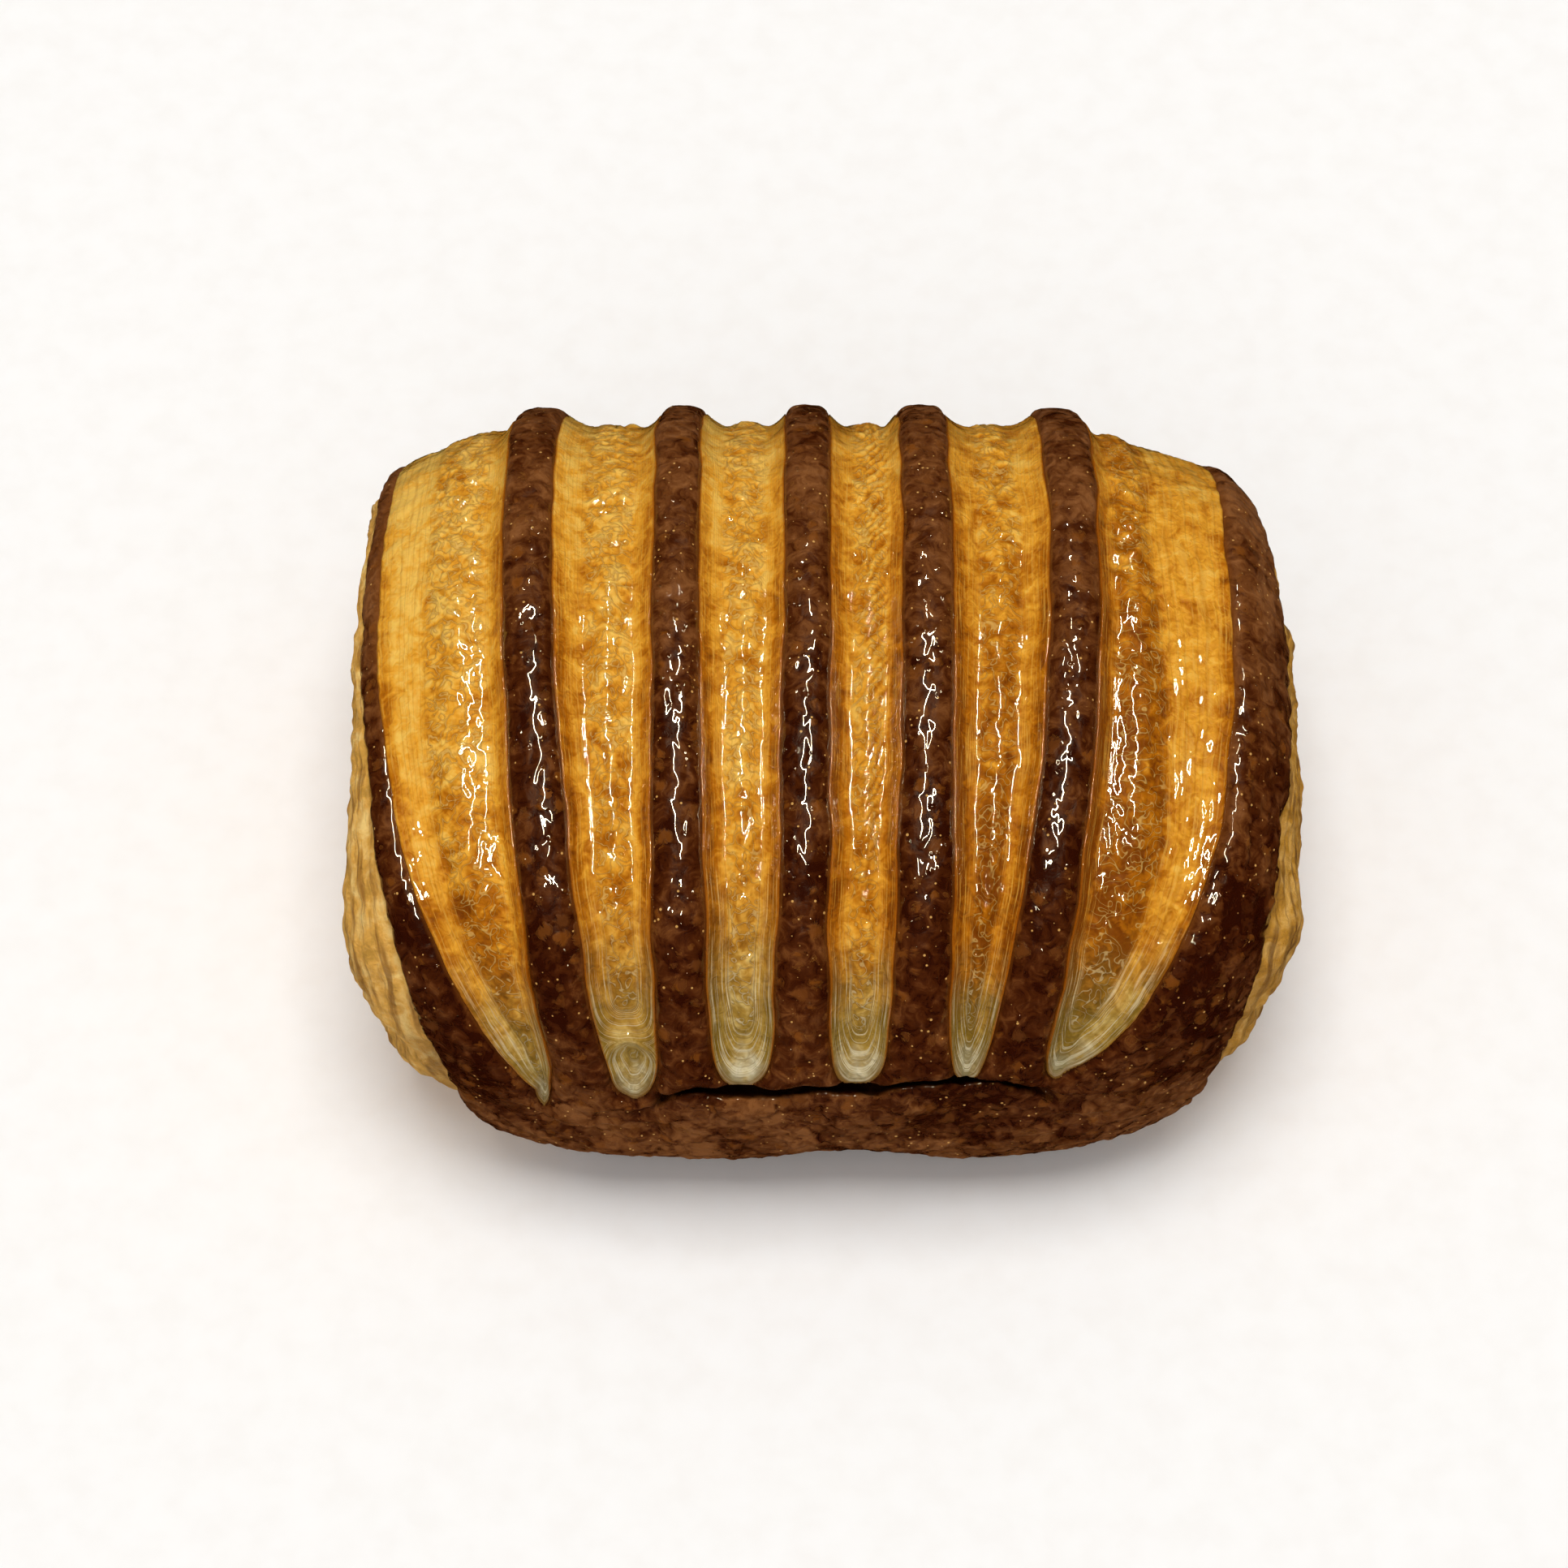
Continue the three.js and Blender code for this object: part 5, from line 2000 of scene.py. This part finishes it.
@dataclass(frozen=True)
class LayeredDough:
    """The roll's ends: laminated dough baked dry and unglazed.

    It gives the eye a matte crumb, gold on the ridges, with painted shade darkening the grooves and
    fine dark lines where its sheets part.
    """

    pale: str = "efc877"
    gold: str = "dba245"
    olive: str = "b88731"
    line: str = "7d4c10"
    # Painted shade: the dark brown laid into the grooves between the turns.
    hollow: str = "5c340b"
    mottle_mm: float = 2.2
    crumb_mm: float = 0.7
    # A turn of the roll holds 27 sheets. They are too fine to show, so 15 coarser ones are drawn.
    sheet_count: float = 15.0
    sheet_drift: float = 0.08
    line_cover: Span = (0.5, 0.36, 0.0, 0.7)
    groove_shade_cover: Span = (0.25, 0.85, 0.0, 0.8)
    crumb_bump: Pair = (0.8, 0.25)
    sheet_bump: Pair = (0.7, 0.18)

    def build(self) -> Finish:
        """Makes the material.

        Returns:
            The new material.
        """
        recipe = Recipe("baked_laminated_dough", "arc", "phase", "groove")
        add, place, read = recipe.add, recipe.place, recipe.read
        mottle = add("TexNoise", inputs={
            "Vector": place, "Scale": per_mm(self.mottle_mm), "Detail": 4.0, "Roughness": 0.6,
            "Distortion": 0.5,
        })
        stops = ((0.3, self.olive), (0.48, self.gold), (0.7, self.pale))
        colour = add("ValToRGB", inputs=(mottle,), stops=stops)
        wound = add("Math", MULTIPLY, (read["phase"], self.sheet_count))
        slow = add("Math", MULTIPLY, (read["arc"], self.sheet_drift))
        along_sheets = add("CombineXYZ", inputs=(wound, slow))
        sheets = add("TexNoise", inputs={
            "Vector": along_sheets, "Scale": 1.0, "Detail": 3.0, "Roughness": 0.6,
        })
        dark_lines = add("MapRange", inputs=(sheets, *self.line_cover))
        # The grooves are darkened as painted shade.
        groove_shade = add("MapRange", inputs=(read["groove"], *self.groove_shade_cover))
        for share, code in ((dark_lines, self.line), (groove_shade, self.hollow)):
            colour = add("Mix", COLOURS, {0: share, 6: colour, 7: linear(code)})
        crumb = add("TexNoise", inputs={
            "Vector": place, "Scale": per_mm(self.crumb_mm), "Detail": 3.0, "Distortion": 1.0,
        })
        below = {}
        for height, (strength, depth) in ((crumb, self.crumb_bump), (sheets, self.sheet_bump)):
            skin = add("Bump", inputs={
                "Strength": strength, "Distance": depth * MM, "Height": height, **below,
            })
            below = {"Normal": skin}
        shader = add("BsdfPrincipled", inputs={
            "Base Color": colour, "Roughness": 0.5, "Normal": skin, "IOR": DOUGH_IOR,
            "Specular IOR Level": 0.35, "Coat Weight": 0.15, "Coat Roughness": 0.12,
            "Subsurface Weight": 0.1, "Subsurface Scale": CRUMB_GLOW_MM * MM,
            "Subsurface Radius": CRUMB_GLOW,
        })
        add("OutputMaterial", inputs=(shader,))
        return recipe.material


@dataclass(frozen=True)
class PaleFloor:
    """A matte painted board, warm white, with the faint unevenness of a roller."""

    paint: str = "fdfbf8"
    shade: str = "faf7f3"
    roller_mm: float = 4.0

    def build(self) -> Finish:
        """Makes the material.

        Returns:
            The new material.
        """
        recipe = Recipe("matte_painted_board")
        roller = recipe.add(
            "TexNoise",
            inputs={"Vector": recipe.place, "Scale": per_mm(self.roller_mm), "Detail": 2.0},
        )
        stops = ((0.3, self.shade), (0.7, self.paint))
        colour = recipe.add("ValToRGB", inputs=(roller,), stops=stops)
        shader = recipe.add("BsdfPrincipled", inputs={
            "Base Color": colour, "Roughness": 0.9, "Specular IOR Level": 0.1,
        })
        recipe.add("OutputMaterial", inputs=(shader,))
        return recipe.material


@dataclass
class Studio:
    """The floor, the camera at the photo's angle, the two overhead lights and the pale room."""

    elevation: float = 60.0
    distance: float = 0.48
    aim: tuple[float, float, float] = (-0.0045, -0.0007, 0.0195)
    sensor: float = 36.0
    image_width: float = 1932.0
    pixels_per_mm: float = 11.45
    floor_size: float = 6.0
    floor_gap: float = 0.02
    floor_rings: int = 24
    floor_spokes: int = 64
    floor_crowding: float = 1.6
    sight: float = 20.0
    room_strength: float = 0.29
    window_strength: float = 0.75
    window_azimuth: float = -15.0
    window_elevation: float = 45.0
    window_focus: float = 4.0
    room_colour: str = "fbfbfc"
    softbox_watts: float = 25.0
    softbox_size: float = 1.05
    strip_watts: float = 80.0
    strip_width: float = 0.045
    strip_length: float = 2.0
    light_distance: float = 2.0
    strip_lean: float = 5.0
    strip_colour: str = "fff0cc"

    def add_camera(self) -> Piece:
        """Adds the camera and makes it the scene's own."""
        data = bpy.data.cameras.new("camera")
        data.sensor_width = self.sensor
        focal_pixels = self.distance / MM * self.pixels_per_mm
        data.lens = focal_pixels / self.image_width * self.sensor
        data.clip_end = self.sight
        camera = bpy.data.objects.new("camera", data)
        tilt = math.radians(self.elevation)
        back = Vector((0.0, -math.cos(tilt), math.sin(tilt)))
        camera.location = Vector(self.aim) + back * self.distance
        camera.rotation_euler = back.to_track_quat("Z", "Y").to_euler()
        bpy.context.scene.collection.objects.link(camera)
        bpy.context.scene.camera = camera
        return camera

    def add_floor(self) -> Piece:
        """Adds the floor, a disc in rings that lie closer together near the roll."""
        rings = self.floor_rings
        spokes = self.floor_spokes
        shares = np.linspace(0.0, 1.0, rings + 1)[1:]
        radii = shares**self.floor_crowding * self.floor_size / MM
        angles = FULL_TURN * np.arange(spokes) / spokes
        grid = np.stack(
            np.broadcast_arrays(
                radii[None, :] * np.cos(angles)[:, None],
                radii[None, :] * np.sin(angles)[:, None],
                0.0 * radii[None, :],
            ),
            axis=-1,
        )
        skin = Skin("floor")
        first = skin.add_points(grid)
        skin.add_grid(first, spokes, rings, ring=True)
        centre = skin.add_points(np.zeros((1, 3)))
        for spoke in range(spokes):
            skin.faces.append([centre, first + ((spoke + 1) % spokes) * rings, first + spoke * rings])
        floor = skin.build()
        floor.location.z = -self.floor_gap * MM
        floor.visible_glossy = False
        floor.data.flip_normals()
        floor.data.materials.append(PaleFloor().build())
        return floor

    def add_area_light(self, name: str, watts: float, width: float, length: float, lean: float) -> Piece:
        """Adds one white area light above the roll.

        Args:
            name: The light's name.
            watts: Its power.
            width: Its size along the roll, in metres.
            length: Its size across the roll, in metres.
            lean: How far it leans behind the roll, in degrees.

        Returns:
            The light.
        """
        data = bpy.data.lights.new(name, "AREA")
        data.shape = "RECTANGLE"
        data.size = width
        data.size_y = length
        data.energy = watts
        lamp = bpy.data.objects.new(name, data)
        tilt = math.radians(lean)
        lamp.location = Vector((0.0, math.sin(tilt), math.cos(tilt))) * self.light_distance
        lamp.rotation_euler = (-tilt, 0.0, 0.0)
        bpy.context.scene.collection.objects.link(lamp)
        return lamp

    def add_lights(self) -> None:
        """Adds the overhead softbox, the narrow strip light and the pale room.

        The softbox and the room light the roll, and the strip light is there for its gloss
        alone, as when a studio's broad lights are polarised and its strip light isn't.
        """
        softbox = self.add_area_light(
            "softbox", self.softbox_watts, self.softbox_size, self.softbox_size, 0.0,
        )
        softbox.visible_glossy = False
        strip = self.add_area_light(
            "strip_light", self.strip_watts, self.strip_width, self.strip_length, self.strip_lean,
        )
        strip.visible_diffuse = False
        strip.data.color = linear(self.strip_colour)[:3]
        world = bpy.data.worlds.new("pale_room")
        bpy.context.scene.world = world
        world.use_nodes = True
        tree = world.node_tree
        background = tree.nodes["Background"]
        background.inputs["Color"].default_value = linear(self.room_colour)
        direction = add_node(tree, "TexCoord").outputs["Generated"]
        azimuth = math.radians(self.window_azimuth)
        rise = math.radians(self.window_elevation)
        level = math.cos(rise)
        window = (level * math.sin(azimuth), -level * math.cos(azimuth), math.sin(rise))
        towards = add_node(tree, "VectorMath", {"operation": "DOT_PRODUCT"}, (direction, window))
        facing = add_node(tree, "Math", {"operation": "MAXIMUM"}, (towards.outputs["Value"], 0.0))
        spread = add_node(tree, "Math", {"operation": "POWER"}, (facing, self.window_focus))
        strength = add_node(
            tree, "Math", MULTIPLY_ADD, (spread, self.window_strength, self.room_strength),
        )
        tree.links.new(strength.outputs[0], background.inputs["Strength"])
        world.cycles_visibility.glossy = False


def dress(piece: Piece, material: Finish, slot: Slot) -> None:
    """Gives a piece its finish and ties it to the frame.

    Args:
        piece: The new piece.
        material: Its finish.
        slot: The record's material slot for it; not used.
    """
    piece.data.materials.append(material)
    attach(piece, BODY)
    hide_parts(NODE)
    LOG.info("%s: %d faces", piece.name, len(piece.data.polygons))


def main() -> None:
    """Builds the pastry's pieces, then the studio."""
    low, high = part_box(NODE)
    size = (high - low) / MM
    shape = RollShape(half_length=size.x / 2.0, crest_height=size.z, depth=size.y)
    slits = SlitPattern(shape)
    folds = Folds()
    bpy.context.scene.view_settings.view_transform = "Standard"
    studio = Studio()
    studio.add_camera()
    studio.add_floor()
    studio.add_lights()
    dress(Wrap(shape, slits, folds).build(), ChocolateCrust().build(), Slot.CHOCOLATE)
    golden = GoldenCrust().build()
    for index in range(len(slits.strips)):
        dress(GoldenStrip(shape, slits, folds, index).build(), golden, Slot.GOLDEN)
    ends = {
        Side.LEFT: LayeredDough(),
        Side.RIGHT: LayeredDough(pale="e0ae5a", gold="c08726", olive="966618", line="6a3d08"),
    }
    for side, layers in ends.items():
        dress(LayeredEnd(shape, side).build(), layers.build(), Slot.LAYERS)


if __name__ == "__main__":
    logging.basicConfig(level=logging.INFO)
    main()
